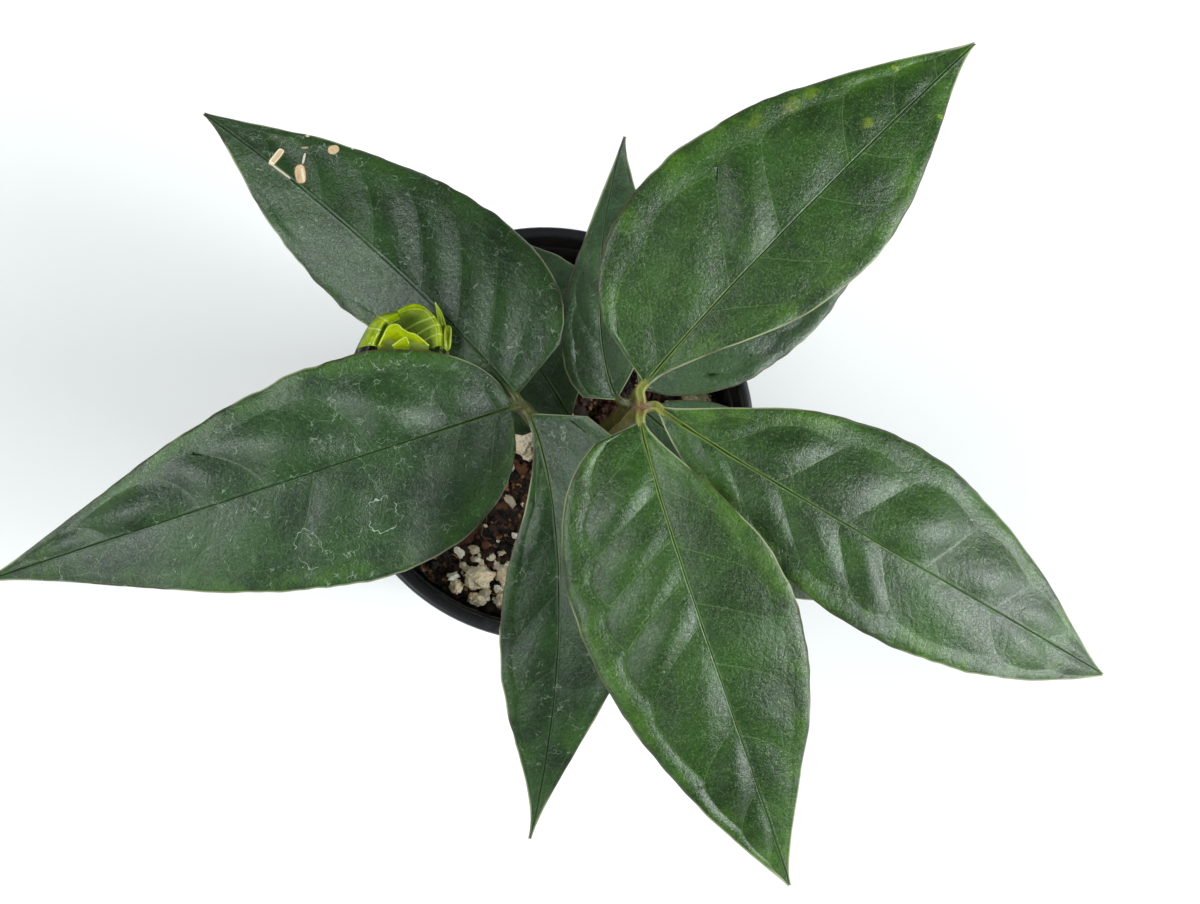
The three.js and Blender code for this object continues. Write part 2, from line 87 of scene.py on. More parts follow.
LEAFLETS = {
    "left_leaf_upper_leaflet": leaflet(
        "old", (-12.4, 1.7, 140.4), 101, 124, 16.5, 0.3, 3, -24,
        side(13.9, 0.46, 1.5, -14, -20, -0.3, (0.03, 0.2, 0.36, 0.52, 0.68, 0.82)),
        side(24.9, 0.25, 1.18, 12, -18, -1.2, (0.03, 0.1, 0.2, 0.31, 0.46, 0.62, 0.78),
             (0.1, 0.15, 0.16, 0.17, 0.15, 0.12, 0.08), 0.15, 0)),
    "left_leaf_middle_leaflet": leaflet(
        "old", (-13.2, -0.9, 140.7), 124.4, -159.5, -4, 1.2, 14, -26,
        side(26, 0.28, 1.45, -6, -13, 0.8, (0.03, 0.1, 0.22, 0.37, 0.54, 0.74, 0.88),
             (0.05, 0.09, 0.09, 0.08, 0.07, 0.06, 0.04), 0.2, -0.3),
        side(21, 0.3, 1.36, 16, -11, 2.5, (0.03, 0.12, 0.264, 0.455, 0.574, 0.745, 0.88),
             (0.02, 0.04, 0.062, 0.104, 0.062, 0.063, 0.04), 0.7, 0)),
    "left_leaf_lower_leaflet": leaflet(
        "old", (-8.9, -2.6, 139.3), 106.7, -53.5, -45.5, 0.3, -2, -40,
        side(21, 0.24, 1.7, 18, -5, 0.5),
        side(12.8, 0.48, 2.05, 24, -17, 0.5, (0.03, 0.22, 0.38, 0.55, 0.7, 0.84)), roll=18, twist=-22),
    "right_leaf_upper_leaflet": leaflet(
        "top", (13.8, 1.9, 161), 109, 54, -10, 0.3, 14, -14,
        side(28, 0.29, 1.17, 16, -12, 1.3, (0.03, 0.246, 0.394, 0.595, 0.738, 0.87),
             (0.15, 0.149, 0.103, 0.095, 0.071, 0.03), 0.1, 1.2),
        side(17.6, 0.47, 1.68, 10, -13, 0.35, (0.03, 0.18, 0.33, 0.5, 0.63, 0.73, 0.85),
             (0.1, 0.11, 0.1, 0.09, 0.08, 0.07, 0.05), 0.2, 0.3)),
    "right_leaf_middle_leaflet": leaflet(
        "top", (17.3, -3.8, 160), 127, -39, 15.3, 0.33, 5, -30,
        side(23.4, 0.45, 1.43, 8, -22, 1.7, (0.03, 0.1, 0.225, 0.363, 0.533, 0.694, 0.83),
             (0.06, 0.07, 0.08, 0.093, 0.072, 0.065, 0.05), 0.0, 0.8),
        side(17.8, 0.48, 1.04, -8, -7, 1.3, (0.03, 0.12, 0.23, 0.35, 0.44, 0.684, 0.83),
             (0.08, 0.1, 0.1, 0.088, 0.085, 0.065, 0.04), 0.2, 0.5)),
    "right_leaf_lower_leaflet": leaflet(
        "top", (12.9, -6.8, 160), 113.4, -86, 21.5, 0.3, 11, -38,
        side(20.2, 0.43, 1.76, 21, -14, 0.45, (0.03, 0.12, 0.24, 0.35, 0.47, 0.62, 0.77, 0.88),
             (0.06, 0.07, 0.08, 0.08, 0.083, 0.08, 0.06, 0.04), 0.2, 0.3),
        side(24.4, 0.31, 1.16, 6, -24, 1.8, (0.03, 0.13, 0.225, 0.3, 0.39, 0.594, 0.74, 0.87),
             (0.09, 0.09, 0.085, 0.095, 0.11, 0.09, 0.075, 0.05), 0.1, 2.0)),
    "under_leaf_upper_leaflet": leaflet(
        "under", (13.5, 5.2, 117), 75.5, 138.5, -68.5, 0.3, 16, -42,
        side(8.9, 0.15, 2.4, 14, -20, 0.6),
        side(13, 0.36, 1.66, 16, -8, 0.6)),
    "under_leaf_middle_leaflet": leaflet(
        "under", (19.4, 7.6, 117.3), 83.3, 43, -12.4, 1, 10, -22,
        side(14, 0.38, 1.1, -6, -16, 0.5),
        side(16, 0.39, 1.16, 10, -15, 0.5)),
    "under_leaf_lower_leaflet": leaflet(
        "under", (20.3, 1.9, 116.1), 73.5, -40, 3.5, 1, 6, -26,
        side(16.6, 0.44, 0.9, 8, -13, 0.5),
        side(17, 0.48, 1.16, 8, -13, 0.5)),
    "low_leaf_blade": leaflet(
        "under", (4.1, 2.8, 99.3), 63.3, 125.5, -11, 0.85, 12, -16,
        side(16.8, 0.24, 1.17, 6, -13, 0.6),
        side(22, 0.4, 2, 8, -10, 0.6)),
    "new_leaf_middle_leaflet": leaflet(
        "new", (-31.4, 10.4, 143.4), 19.5, 137, 70, 1, 34, -62,
        side(6.2, 0.42, 1.0, -20, 150),   # drawn by NEW_LEAF_SHEETS: only midrib and left width are used
        side(10, 0.4, 0.9, -6, 112), roll=6),
    "new_leaf_narrow_leaflet": leaflet(
        "new", (-28.9, 11.4, 142.6), 10.6, 82, 34, 1, 16, 4,
        side(0.75, 0.45, 1, 34, 20, 0, (0.03,)),
        side(0.7, 0.45, 1, 34, 20, 0, (0.03,))),
    "new_leaf_small_leaflet": leaflet(
        "new", (-27.7, 11, 143.6), 5.6, 94, -10, 1, 26, -14,
        side(0.9, 0.6, 0.4, 24, 70, 0, (0.03,)),
        side(0.9, 0.6, 0.4, 24, 70, 0, (0.03,))),
}

# The new leaf: curled sheets through rows of points round CURL, in millimetres. Each has the row of its
# pale lip and the places of its ribs, counted in columns, and shade, which shifts the painted shade that
# darkens the sheet deeper in its curl.
CURL = (-38.0, 14.5, 146)
NEW_LEAF_SHEETS = [
    dict(lip=2, ribs=(3.0, 3.72, 4.35), shade=0.1, rows=[  # the hood
        [(-1.7, 2.6, -5), (-1.1, 2, -5.2), (-0.2, 1.6, -5.3), (0.7, 1.3, -5.4), (3.9, -0.6, -5.2), (5.4, -3, -5)],
        [(-1.3, 3.3, -1.5), (0.2, 3.3, -2), (2.6, 3.3, -2), (3.9, 2.5, -2), (6.1, 0.3, -2), (7, -3.2, -1.5)],
        [(-0.7, 3.7, 2), (2, 4.8, 2), (5, 4.6, 2), (6.7, 2.9, 2), (7.8, 0.5, 1.8), (8.1, -3.2, 1.1)],
        [(-0.7, 4.2, 2.2), (1.5, 5.3, 2.4), (4.1, 5.5, 2.4), (7.2, 3.1, 2.2), (8.5, 0.5, 2), (8.7, -3.2, 1.3)],
        [(-0.9, 4.6, -1), (1.3, 5.8, -1), (3.9, 6.1, -1), (7.4, 3.5, -1), (8.9, 0.9, -1.2), (9.1, -3.2, -1.5)]]),
    dict(lip=3, ribs=(1.3, 2.4), shade=0.0, rows=[  # the rolled left side
        [(-9.0, -3.8, -4), (-7.6, 0.5, -4), (-5.7, 3.3, -4), (-3.5, 4.6, -4), (-0.7, 5.1, -3.5)],
        [(-8.9, -3.7, 0), (-7.4, -0.3, 0), (-5.4, 2.5, 0), (-3.3, 3.7, 0.2), (-0.7, 4.1, 0.5)],
        [(-6.5, -3.6, 2.2), (-5.3, -0.8, 2.4), (-4.1, 1.5, 2.6), (-2.5, 2.8, 2.5), (-0.7, 3.4, 2.4)],
        [(-4.4, -3.6, 0.3), (-3.6, -0.8, 0.5), (-2.9, 0.9, 0.6), (-1.7, 2.1, 0.5), (-0.2, 2.9, 0.3)]]),
    dict(lip=2, ribs=(), shade=-0.3, rows=[  # the flap in front
        [(-4.7, -3.8, -3.5), (-3.0, -3.7, -3.5), (-2.0, -3.7, -3.5), (-0.7, -3.6, -3.5), (0.4, -3.6, -3.5),
         (1.7, -3.5, -3.5), (2.9, -3.5, -3.5), (4.0, -3.5, -3.5), (6.2, -3.5, -3.5)],
        [(-4.9, -3.6, 0.6), (-3.3, -1.9, 1.2), (-2.2, -1.4, 1.3), (-0.9, -1.3, 1.2), (0.3, -1.6, 1),
         (1.7, -2.0, 0.8), (3.0, -2.2, 0.5), (4.0, -2.5, 0.2), (6.2, -3.3, -0.7)],
        [(-4.7, -3.6, 2.4), (-3.0, 0.1, 2.8), (-2.1, 1.0, 2.9), (-0.7, 1.15, 2.8), (0.35, 0.3, 2.6),
         (1.7, -0.45, 2.3), (2.95, -0.65, 2), (3.9, -1.25, 1.7), (6.2, -3.1, 1)]]),
    dict(lip=2, ribs=(), shade=-0.2, rows=[  # the small flap before it
        [(-1.3, -3.8, -1), (0.2, -3.8, -1), (1.7, -3.8, -1)],
        [(-1.6, -3.7, 1.6), (0.4, -3.0, 1.7), (1.9, -3.4, 1.2)],
        [(-1.8, -3.6, 2.6), (0.95, -1.7, 3.1), (1.8, -2.8, 2.2)]]),
]

# The ripple of the margin, in millimetres
RIPPLE = {"old": 0.7, "top": 0.55, "under": 0.5, "new": 0.0}

# Stalks: points, radius, radius at the knee and radius of the small stalks, in millimetres
STALKS = {
    "left_leaf_stalk": (
        [(2.4, -6.8, 84), (0, -6, 104), (-5.2, -3.6, 124), (-10.4, -0.6, 137.6)], 1.7, 1.8, 1.15),
    "right_leaf_stalk": (
        [(7.8, -6.3, 84), (9.6, -6.2, 108), (11.8, -5, 136), (13.3, -3.2, 158.6)], 1.5, 1.6, 1.15),
    "under_leaf_stalk": (
        [(7.4, -2.8, 84), (11.4, -0.6, 96), (15, 2, 107), (17.2, 4, 115)], 1.3, 1.5, 1.0),
    "low_leaf_stalk": (
        [(4.9, -1.9, 84), (5.3, -1, 89), (5.6, -0.4, 93.5), (5.6, 0.1, 97.3)], 1.2, 1.3, 0.9),
    "new_leaf_stalk": (
        [(3.9, -4.4, 87), (-0.5, -2, 99), (-10, 2.6, 115), (-21, 5, 131), (-28.4, 6.4, 141.6)], 1.2, 1.3, 0.8),
}
STALK_STEPS, ARM_STEPS = 48, 30
VOXEL = 0.3   # the grain at which a stalk and its small stalks are grown together

BRACT = dict(length=17, width=3.6, reach=5.55, foot=79.2, angles=(247, 336))

# Stones and bark chips, in millimetres: place, half-sizes and turn in degrees
PUMICE = [
    ((-4.6, -0.9), (3.9, 5, 3.4), 8), ((-16.8, -36.2), (3.5, 3.1, 2.6), 12),
    ((-8.9, -35.4), (3.1, 3.1, 2.8), 70), ((-9.8, -42), (2.6, 2.4, 2), 30),
    ((-22.6, -38.6), (1.8, 1.7, 1.6), 0), ((-17.2, -41.8), (2.4, 1.6, 1.5), -15),
    ((40, 11), (3.8, 2.4, 2.2), -8), ((26, 27), (3.2, 2.6, 2.2), 40), ((-36, 12), (2.8, 2.4, 2), 80),
]
BARK = [
    ((16.6, 6.5), (3, 2.2, 1.6), 25), ((-20.5, -25), (3.4, 2.1, 1.4), 55),
    ((-34.5, -28.5), (3, 1.9, 1.3), 130), ((30, -26), (4, 2.4, 1.6), -30),
]


# Shader formulas

class Wire:
    """A shader socket that stands in a formula."""

    def __init__(self, finish, socket):
        self.finish, self.socket = finish, socket

    def math(self, operation, *values):
        return self.finish.node("ShaderNodeMath", dict(operation=operation), dict(enumerate(values)))

    def __add__(self, other):
        return self.math("ADD", self, other)

    __radd__ = __add__

    def __mul__(self, other):
        return self.math("MULTIPLY", self, other)

    __rmul__ = __mul__

    def __sub__(self, other):
        return self.math("SUBTRACT", self, other)

    def __rsub__(self, other):
        return self.math("SUBTRACT", other, self)

    def __truediv__(self, other):
        return self.math("DIVIDE", self, other)

    def __pow__(self, other):
        return self.math("POWER", self, other)

    def __abs__(self):
        return self.math("ABSOLUTE", self)


class Finish:
    """A material under construction. node() adds any node, and the rest are the patterns used often."""

    def __init__(self, name):
        self.material = bpy.data.materials.new(name)
        self.material.use_nodes = True
        self.tree = self.material.node_tree
        self.surface = self.tree.nodes["Principled BSDF"]

    def node(self, kind, settings=None, values=None, output=0):
        made = self.tree.nodes.new(kind)
        for key, value in (settings or {}).items():
            if key == "stops":
                self.set_stops(made.color_ramp, value)
            else:
                setattr(made, key, value)
        for key, value in (values or {}).items():
            self.feed(made.inputs[key], value)
        return Wire(self, made.outputs[output])

    def set_stops(self, ramp, stops):
        while len(ramp.elements) < len(stops):
            ramp.elements.new(1)
        for element, (place, colour) in zip(ramp.elements, stops):
            element.position, element.color = place, colour

    def feed(self, socket, value):
        if isinstance(value, Wire):
            self.tree.links.new(value.socket, socket)
        else:
            socket.default_value = value

    def set(self, **values):
        for key, value in values.items():
            self.feed(self.surface.inputs[key.replace("_", " ").title().replace("Ior", "IOR")], value)

    def place(self):
        """Place on the object, in millimetres."""
        where = self.node("ShaderNodeTexCoord", output="Object")
        return self.node("ShaderNodeVectorMath", dict(operation="SCALE"), {0: where, "Scale": 1 / MM})

    def along(self, place, stretch):
        return self.node("ShaderNodeVectorMath", dict(operation="MULTIPLY"), {0: place, 1: stretch})

    def noise(self, place, size, detail=3, rough=0.5, distort=0.0):
        return self.node("ShaderNodeTexNoise", None, {
            "Vector": place, "Scale": 1 / size, "Detail": detail, "Roughness": rough, "Distortion": distort})

    def cells(self, place, size, feature="F1", output="Distance"):
        return self.node("ShaderNodeTexVoronoi", dict(feature=feature),
                         {"Vector": place, "Scale": 1 / size}, output)

    def between(self, value, low, high):
        """0 under low, 1 over high and smooth between, or the other way round."""
        return self.node("ShaderNodeMapRange", dict(interpolation_type="SMOOTHSTEP"), {
            "Value": value, "From Min": low, "From Max": high})

    def mix(self, share, first, second):
        return self.node("ShaderNodeMix", dict(data_type="RGBA"),
                         {0: share, 6: first, 7: second}, output=2)

    def ramp(self, value, *stops):
        return self.node("ShaderNodeValToRGB", dict(stops=stops), {"Fac": value})

    def values(self, name):
        """The three values that a piece's points hold under a name."""
        return self.parts(self.node("ShaderNodeAttribute", dict(attribute_name=name), output="Vector"))

    def parts(self, vector):
        split = self.node("ShaderNodeSeparateXYZ", None, {"Vector": vector})
        return [Wire(self, output) for output in split.socket.node.outputs]

    def bump(self, height):
        """Relief from a height in millimetres."""
        return self.node("ShaderNodeBump", None, {"Height": height, "Distance": MM, "Strength": 1.0})


def colour(red, green, blue):
    """A colour as a screen shows it, 0 to 255, in the renderer's own light values."""
    return tuple((c / 255) ** 2.2 for c in (red, green, blue)) + (1.0,)


# Modelling helpers

def only(thing):
    """Leaves one object selected and active."""
    bpy.ops.object.select_all(action="DESELECT")
    thing.select_set(True)
    bpy.context.view_layer.objects.active = thing


def named(name):
    """The object just added, under its own name."""
    thing = bpy.context.object
    thing.name = thing.data.name = name
    return thing


def settle(thing):
    """Puts an object's place into its mesh."""
    only(thing)
    bpy.ops.object.transform_apply(location=True, rotation=True, scale=True)
    return thing


def smooth(thing):
    only(thing)
    bpy.ops.object.shade_smooth()
    return thing


def mode(kind):
    bpy.ops.object.mode_set(mode=kind)


def linked(name, data):
    """A new object that shows data."""
    thing = bpy.data.objects.new(name, data)
    bpy.context.scene.collection.objects.link(thing)
    return thing


def modify(thing, kind, **settings):
    only(thing)
    modifier = thing.modifiers.new(kind.lower(), kind)
    for key, value in settings.items():
        setattr(modifier, key, value)
    bpy.ops.object.modifier_apply(modifier=modifier.name)
    return thing


def joined(things, name):
    only(things[0])
    for thing in things:
        thing.select_set(True)
    bpy.ops.object.join()
    return named(name)


def dress(thing, finish, slot, *nodes):
    """Finishes a piece: its material, its body and the nodes that it stands for. Its slot is not used."""
    thing.data.materials.clear()
    thing.data.materials.append(finish)
    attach(thing, BODY)
    if nodes:
        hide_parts(*nodes)
    return thing


def places_of(mesh):
    flat = np.zeros(len(mesh.vertices) * 3)
    mesh.vertices.foreach_get("co", flat)
    return flat.reshape(-1, 3)


def write_attribute(mesh, name, values):
    made = mesh.attributes.new(name, "FLOAT_VECTOR", "POINT")
    made.data.foreach_set("vector", np.asarray(values, float).ravel())


# Blades

def midrib(leaf, shares):
    """Points of the midrib at the given shares of its length, with the directions along, left and up."""
    def directions(s):
        heading = np.radians(leaf["heading"] + leaf["swing"] * s ** leaf["bend"])
        slope = np.radians(leaf["rise"] + (leaf["fall"] - leaf["rise"]) * s)
        lean = np.radians(leaf["roll"] + leaf["twist"] * s)[:, None]
        flat = np.cos(slope)
        along = np.stack([flat * np.cos(heading), flat * np.sin(heading), np.sin(slope)], 1)
        level = np.stack([-np.sin(heading), np.cos(heading), 0 * s], 1)
        over = np.cross(along, level)
        return along, level * np.cos(lean) + over * np.sin(lean), over * np.cos(lean) - level * np.sin(lean)

    steps = np.diff(shares)[:, None] * leaf["length"]
    middles = (shares[1:] + shares[:-1]) / 2
    points = np.vstack([[0, 0, 0], np.cumsum(directions(middles)[0] * steps, 0)]) + np.array(leaf["base"])
    return points, *directions(shares)


def fullness(half, s):
    inner = half["taper"] * half["widest"] / (1 - half["widest"])
    return (s / half["widest"]) ** inner * ((1 - s) / (1 - half["widest"])) ** half["taper"]


def rows_of(leaf, count):
    """Shares along the midrib, with a row on each side vein's root."""
    rows = np.linspace(0, 1, count + 1)
    for root in leaf["left"]["roots"] + leaf["right"]["roots"]:
        rows[np.argmin(np.abs(rows - root))] = root
    return rows


def column_shape(leaf, half, rows, k):
    """One column of a half blade, k from 0 at the midrib to 1 at the margin.

    Rows are swept forward with the side veins, and the column at COLLECTOR follows the vein
    along the margin. Returns the shares along, the offset across and up, and the vein data.
    """
    marks = np.append(half["roots"], 1.0)
    cell = np.interp(rows, np.append(0.0, marks), np.arange(len(marks) + 1))
    part = cell - np.floor(cell)
    inner = min(k / COLLECTOR, 1.0)
    swept = np.interp(rows, [0.0, *half["roots"], 1.0], [0.0, *half["sweeps"], 0.0])
    s = np.clip(rows + swept * ((1 - half["bow"]) * inner + half["bow"] * inner ** 2), 0, 1)
    collector = COLLECTOR + SCALLOP * (np.sin(np.pi * part ** 0.8) - 0.45)
    v = k + (collector - COLLECTOR) * (inner ** 3 if k < COLLECTOR else (1 - k) / (1 - COLLECTOR))

    full = fullness(half, s)
    ends = min(1.0, half["width"] / 3)
    width = ends * (STUB * (1 - s) + TIP * s) + half["width"] * full
    fold = np.radians(half["fold"]) * (1 - s) ** 1.5
    curl = np.radians(half["curl"]) * full + 1e-6
    across = width * (np.sin(fold + curl * v) - np.sin(fold)) / curl
    lift = width * (np.cos(fold) - np.cos(fold + curl * v)) / curl
    gaps = np.diff(np.append(0.0, marks))
    spacing = np.interp(np.floor(cell), np.arange(len(marks)), gaps) * leaf["length"]
    if leaf["look"] != "new":
        puff = half["puff"] * np.clip(spacing / 15, 0.3, 1.1) * full ** 0.7
        puff *= 0.85 + 0.3 * np.sin(np.floor(cell) * 2.3 + half["width"])
        outer = max(0.0, k - COLLECTOR) / (1 - COLLECTOR)
        lift += puff * np.sin(np.pi * part ** 1.35) * np.sin(np.pi * inner ** 0.9)
        lift += half["rim"] * full ** 0.7 * (1 - (1 - outer) ** 1.5 - 0.3 * outer ** 4)
        long, short = (2 * np.pi * count * s for count in WAVES)
        wave = np.sin(long + half["width"]) + 0.5 * np.sin(short + 2 * half["width"])
        lift += RIPPLE[leaf["look"]] * full * v ** 3 * wave
        across += RAGGED * full * v ** 5 * rough_edge(s * leaf["length"], half["width"])
    return dict(s=s, v=v, across=across, lift=lift, cell=cell, rim=(v - collector) * width,
                rib=v * width, edge=(1 - v) * width, pitch=spacing)


def rough_edge(reach, seed):
    """Small uneven scallops of a margin, between about -1 and 1."""
    def both(x):
        return 0.5 * noise.noise(Vector((x / 3.2, seed, 0.5))) + 0.6 * noise.noise(Vector((x / 9, seed, 4.5)))
    return np.array([both(x) for x in reach])


def blade(name):
    """One leaflet: a grid laid on the blade's curved surface, thickened, with its ribs standing out below."""
    leaf = LEAFLETS[name]
    count, half_columns = (ROWS, COLUMNS) if leaf["look"] != "new" else (ROWS // 2, COLUMNS // 2)
    rows = rows_of(leaf, count)
    columns = 2 * half_columns
    bpy.ops.mesh.primitive_grid_add(x_subdivisions=count, y_subdivisions=columns, size=1)
    thing = named(name + "_blade")
    mesh = thing.data
    flat = places_of(mesh) + 0.5
    row = np.rint(flat[:, 0] * count).astype(int)
    column = np.rint(flat[:, 1] * columns).astype(int)

    kinds = ("s", "v", "cell", "rim", "rib", "edge", "pitch")
    fields = {key: np.zeros((count + 1, columns + 1)) for key in kinds}
    surface = np.zeros((count + 1, columns + 1, 3))
    for j in range(columns + 1):
        turn = (j - half_columns) / half_columns
        half = leaf["left"] if turn > 0 else leaf["right"]
        shape = column_shape(leaf, half, rows, abs(turn) ** 1.5)
        points, _, left, up = midrib_at(leaf, shape["s"])
        across, lift = shape["across"][:, None], shape["lift"][:, None]
        surface[:, j] = points + np.sign(turn) * across * left + lift * up
        for key in fields:
            fields[key][:, j] = shape[key]
        fields["v"][:, j] *= np.sign(turn)
    along, across = np.gradient(surface, axis=0), np.gradient(surface, axis=1)
    normal = np.cross(along, across)
    normal /= np.linalg.norm(normal, axis=2, keepdims=True)

    def at(field):
        return field[row, column]

    mesh.vertices.foreach_set("co", (at(surface) * MM).ravel())
    layer = mesh.uv_layers.active.data
    corner = np.zeros(len(mesh.loops), int)
    mesh.loops.foreach_get("vertex_index", corner)
    uv = np.stack([at(fields["s"]), at(fields["v"]) / 2 + 0.5], 1)
    layer.foreach_set("uv", uv[corner].ravel())
    write_attribute(mesh, "veins", np.stack([at(fields["cell"]), at(fields["rim"]), at(fields["rib"])], 1))
    write_attribute(mesh, "lay", np.stack([at(fields["edge"]), at(fields["pitch"]), 0 * at(fields["v"])], 1))
    stout = thing.vertex_groups.new(name="stout")
    weight = THIN_EDGE + (1 - THIN_EDGE) * np.clip(at(fields["edge"]) / THIN_BAND, 0, 1)
    for index, share in enumerate(weight):
        stout.add([index], float(share), "REPLACE")
    modify(thing, "SOLIDIFY", thickness=THICKNESS * MM, offset=0.0, vertex_group="stout")
    raise_ribs(thing, at(surface), at(normal), {key: at(field) for key, field in fields.items()}, leaf)
    return smooth(thing)


def midrib_at(leaf, shares):
    """The midrib at any shares, read off a fine walk along it."""
    if "walk" not in leaf:
        fine = np.linspace(0, 1, 401)
        leaf["walk"] = fine, midrib(leaf, fine)
    fine, tracks = leaf["walk"]
    return [np.stack([np.interp(shares, fine, track[:, i]) for i in range(3)], 1) for track in tracks]


def raise_ribs(thing, surface, normal, field, leaf):
    """Sinks the midrib into the upper face and lets the veins stand out below."""
    mesh = thing.data
    count = len(surface)
    found = places_of(mesh) / MM
    upper = ((found[:count] - surface) * normal).sum(1) > 0
    first, second = found[:count], found[count:2 * count]
    small = min(1.0, leaf["left"]["width"] / 12)
    rib = np.abs(field["rib"])
    side_vein = np.abs(field["cell"] - np.rint(field["cell"])) * field["pitch"]
    foot = 1 + 1.6 * np.exp(-field["s"] / 0.05)
    ridge = 0.32 * foot ** 0.7
    lips = 0.13 * foot * np.exp(-((rib - ridge) / (0.55 * ridge)) ** 2)
    groove = small * (0.2 * np.exp(-(rib / 0.2) ** 2) - lips)
    stand = small * (1.1 - 0.9 * field["s"]) * np.exp(-(rib / 0.75) ** 2)
    inside = (field["rim"] < 0) * np.clip(field["edge"] / 3, 0, 1)
    stand += small * 0.3 * np.exp(-(side_vein / 0.55) ** 2) * inside
    top_shift = -groove[:, None] * normal
    low_shift = -stand[:, None] * normal
    first += np.where(upper[:, None], top_shift, low_shift)
    second += np.where(upper[:, None], low_shift, top_shift)
    mesh.vertices.foreach_set("co", (np.vstack([first, second]) * MM).ravel())
    lay = np.zeros(len(mesh.vertices) * 3)
    mesh.attributes["lay"].data.foreach_get("vector", lay)
    lay = lay.reshape(-1, 3)
    lay[:, 2] = np.concatenate([~upper, upper])
    mesh.attributes["lay"].data.foreach_set("vector", lay.ravel())
    mesh.update()


def between_points(a, b, c, d, t):
    """The place at share t between b and c, on a smooth run through all four."""
    return 0.5 * (2 * b + (c - a) * t + (2 * a - 5 * b + 4 * c - d) * t * t
                  + (3 * b - a - 3 * c + d) * t ** 3)


def smoothed(rows, count):
    """Points of a table, run smoothly from row to row in count steps."""
    ends = np.concatenate([[2 * rows[0] - rows[1]], rows, [2 * rows[-1] - rows[-2]]])
    at = np.linspace(0, len(rows) - 1, count + 1)
    i = np.minimum(at.astype(int), len(rows) - 2)
    return between_points(ends[i], ends[i + 1], ends[i + 2], ends[i + 3], (at - i)[:, None, None])


def sheet(facts):
    """One curled sheet of the new leaf, from its rows of points."""
    table = np.array(facts["rows"], float)
    surface = smoothed(smoothed(table, SHEET_ROWS).transpose(1, 0, 2), SHEET_COLUMNS).transpose(1, 0, 2)
    bpy.ops.mesh.primitive_grid_add(x_subdivisions=SHEET_ROWS, y_subdivisions=SHEET_COLUMNS, size=1)
    thing = named("curled_sheet")
    mesh = thing.data
    flat = places_of(mesh) + 0.5
    row = np.rint(flat[:, 0] * SHEET_ROWS).astype(int)
    column = np.rint(flat[:, 1] * SHEET_COLUMNS).astype(int)
    lip = round(facts["lip"] * SHEET_ROWS / (len(table) - 1))
    crinkle = np.array([0.16 * noise.noise(Vector(p) * 0.9) for p in surface.reshape(-1, 3)])
    surface[:, :, 2] += crinkle.reshape(surface.shape[:2])
    place = surface[row, column]
    mesh.vertices.foreach_set("co", ((place + np.array(CURL)) * MM).ravel())
    edge = np.linalg.norm(surface - surface[lip], axis=2)[row, column]
    wide = table.shape[1] - 1
    step = np.linalg.norm(np.gradient(surface, axis=1), axis=2)[row, column] * SHEET_COLUMNS / wide
    far = 9.0
    rib = np.full(len(edge), far)
    for where in facts["ribs"]:
        rib = np.minimum(rib, np.abs(column / SHEET_COLUMNS * wide - where) * step)
    write_attribute(mesh, "veins", np.stack([rib * 0, rib * 0, rib * 0 + far], 1))
    write_attribute(mesh, "lay", np.stack([edge, edge * 0, edge * 0], 1))
    # painted shade: the sheet is darkened the lower it lies in the curl, shifted by its shade
    depth = np.clip((2.2 - place[:, 2]) / 4 + facts["shade"], 0, 1)
    write_attribute(mesh, "curled", np.stack([rib, depth, edge * 0 + 1], 1))
    modify(thing, "SOLIDIFY", thickness=SHEET_THICKNESS * MM, offset=0.0)
    return smooth(thing)


# Stalks

def smooth_path(points, count):
    """Points along a smooth curve through the given ones, evenly spaced."""
    points = [Vector(p) for p in points]
    ends = [2 * points[0] - points[1]] + points + [2 * points[-1] - points[-2]]
    fine = []
    for i in range(1, len(ends) - 2):
        fine += [between_points(*ends[i - 1:i + 3], k / 24) for k in range(24)]
    fine.append(points[-1])
    reach = np.append(0, np.cumsum([(q - p).length for p, q in zip(fine, fine[1:])]))
    wanted = np.linspace(0, reach[-1], count)
    flat = np.array(fine)
    return [Vector([np.interp(w, reach, flat[:, i]) for i in range(3)]) for w in wanted]


def rod(name, points, radii, rounding=6, caps=True):
    """A round tapering rod through points in millimetres, made as a thick curve and turned into a mesh."""
    bpy.ops.curve.primitive_nurbs_path_add()
    thing = named(name)
    curve = thing.data
    curve.splines.clear()
    line = curve.splines.new("POLY")
    line.points.add(len(points) - 1)
    for spot, point, radius in zip(line.points, points, radii):
        spot.co = (*(p * MM for p in point), 1)
        spot.radius = radius
    curve.bevel_depth = MM
    curve.bevel_resolution = rounding
    curve.use_fill_caps = caps
    curve.dimensions = "3D"
    only(thing)
    bpy.ops.object.convert(target="MESH")
    return settle(named(name))


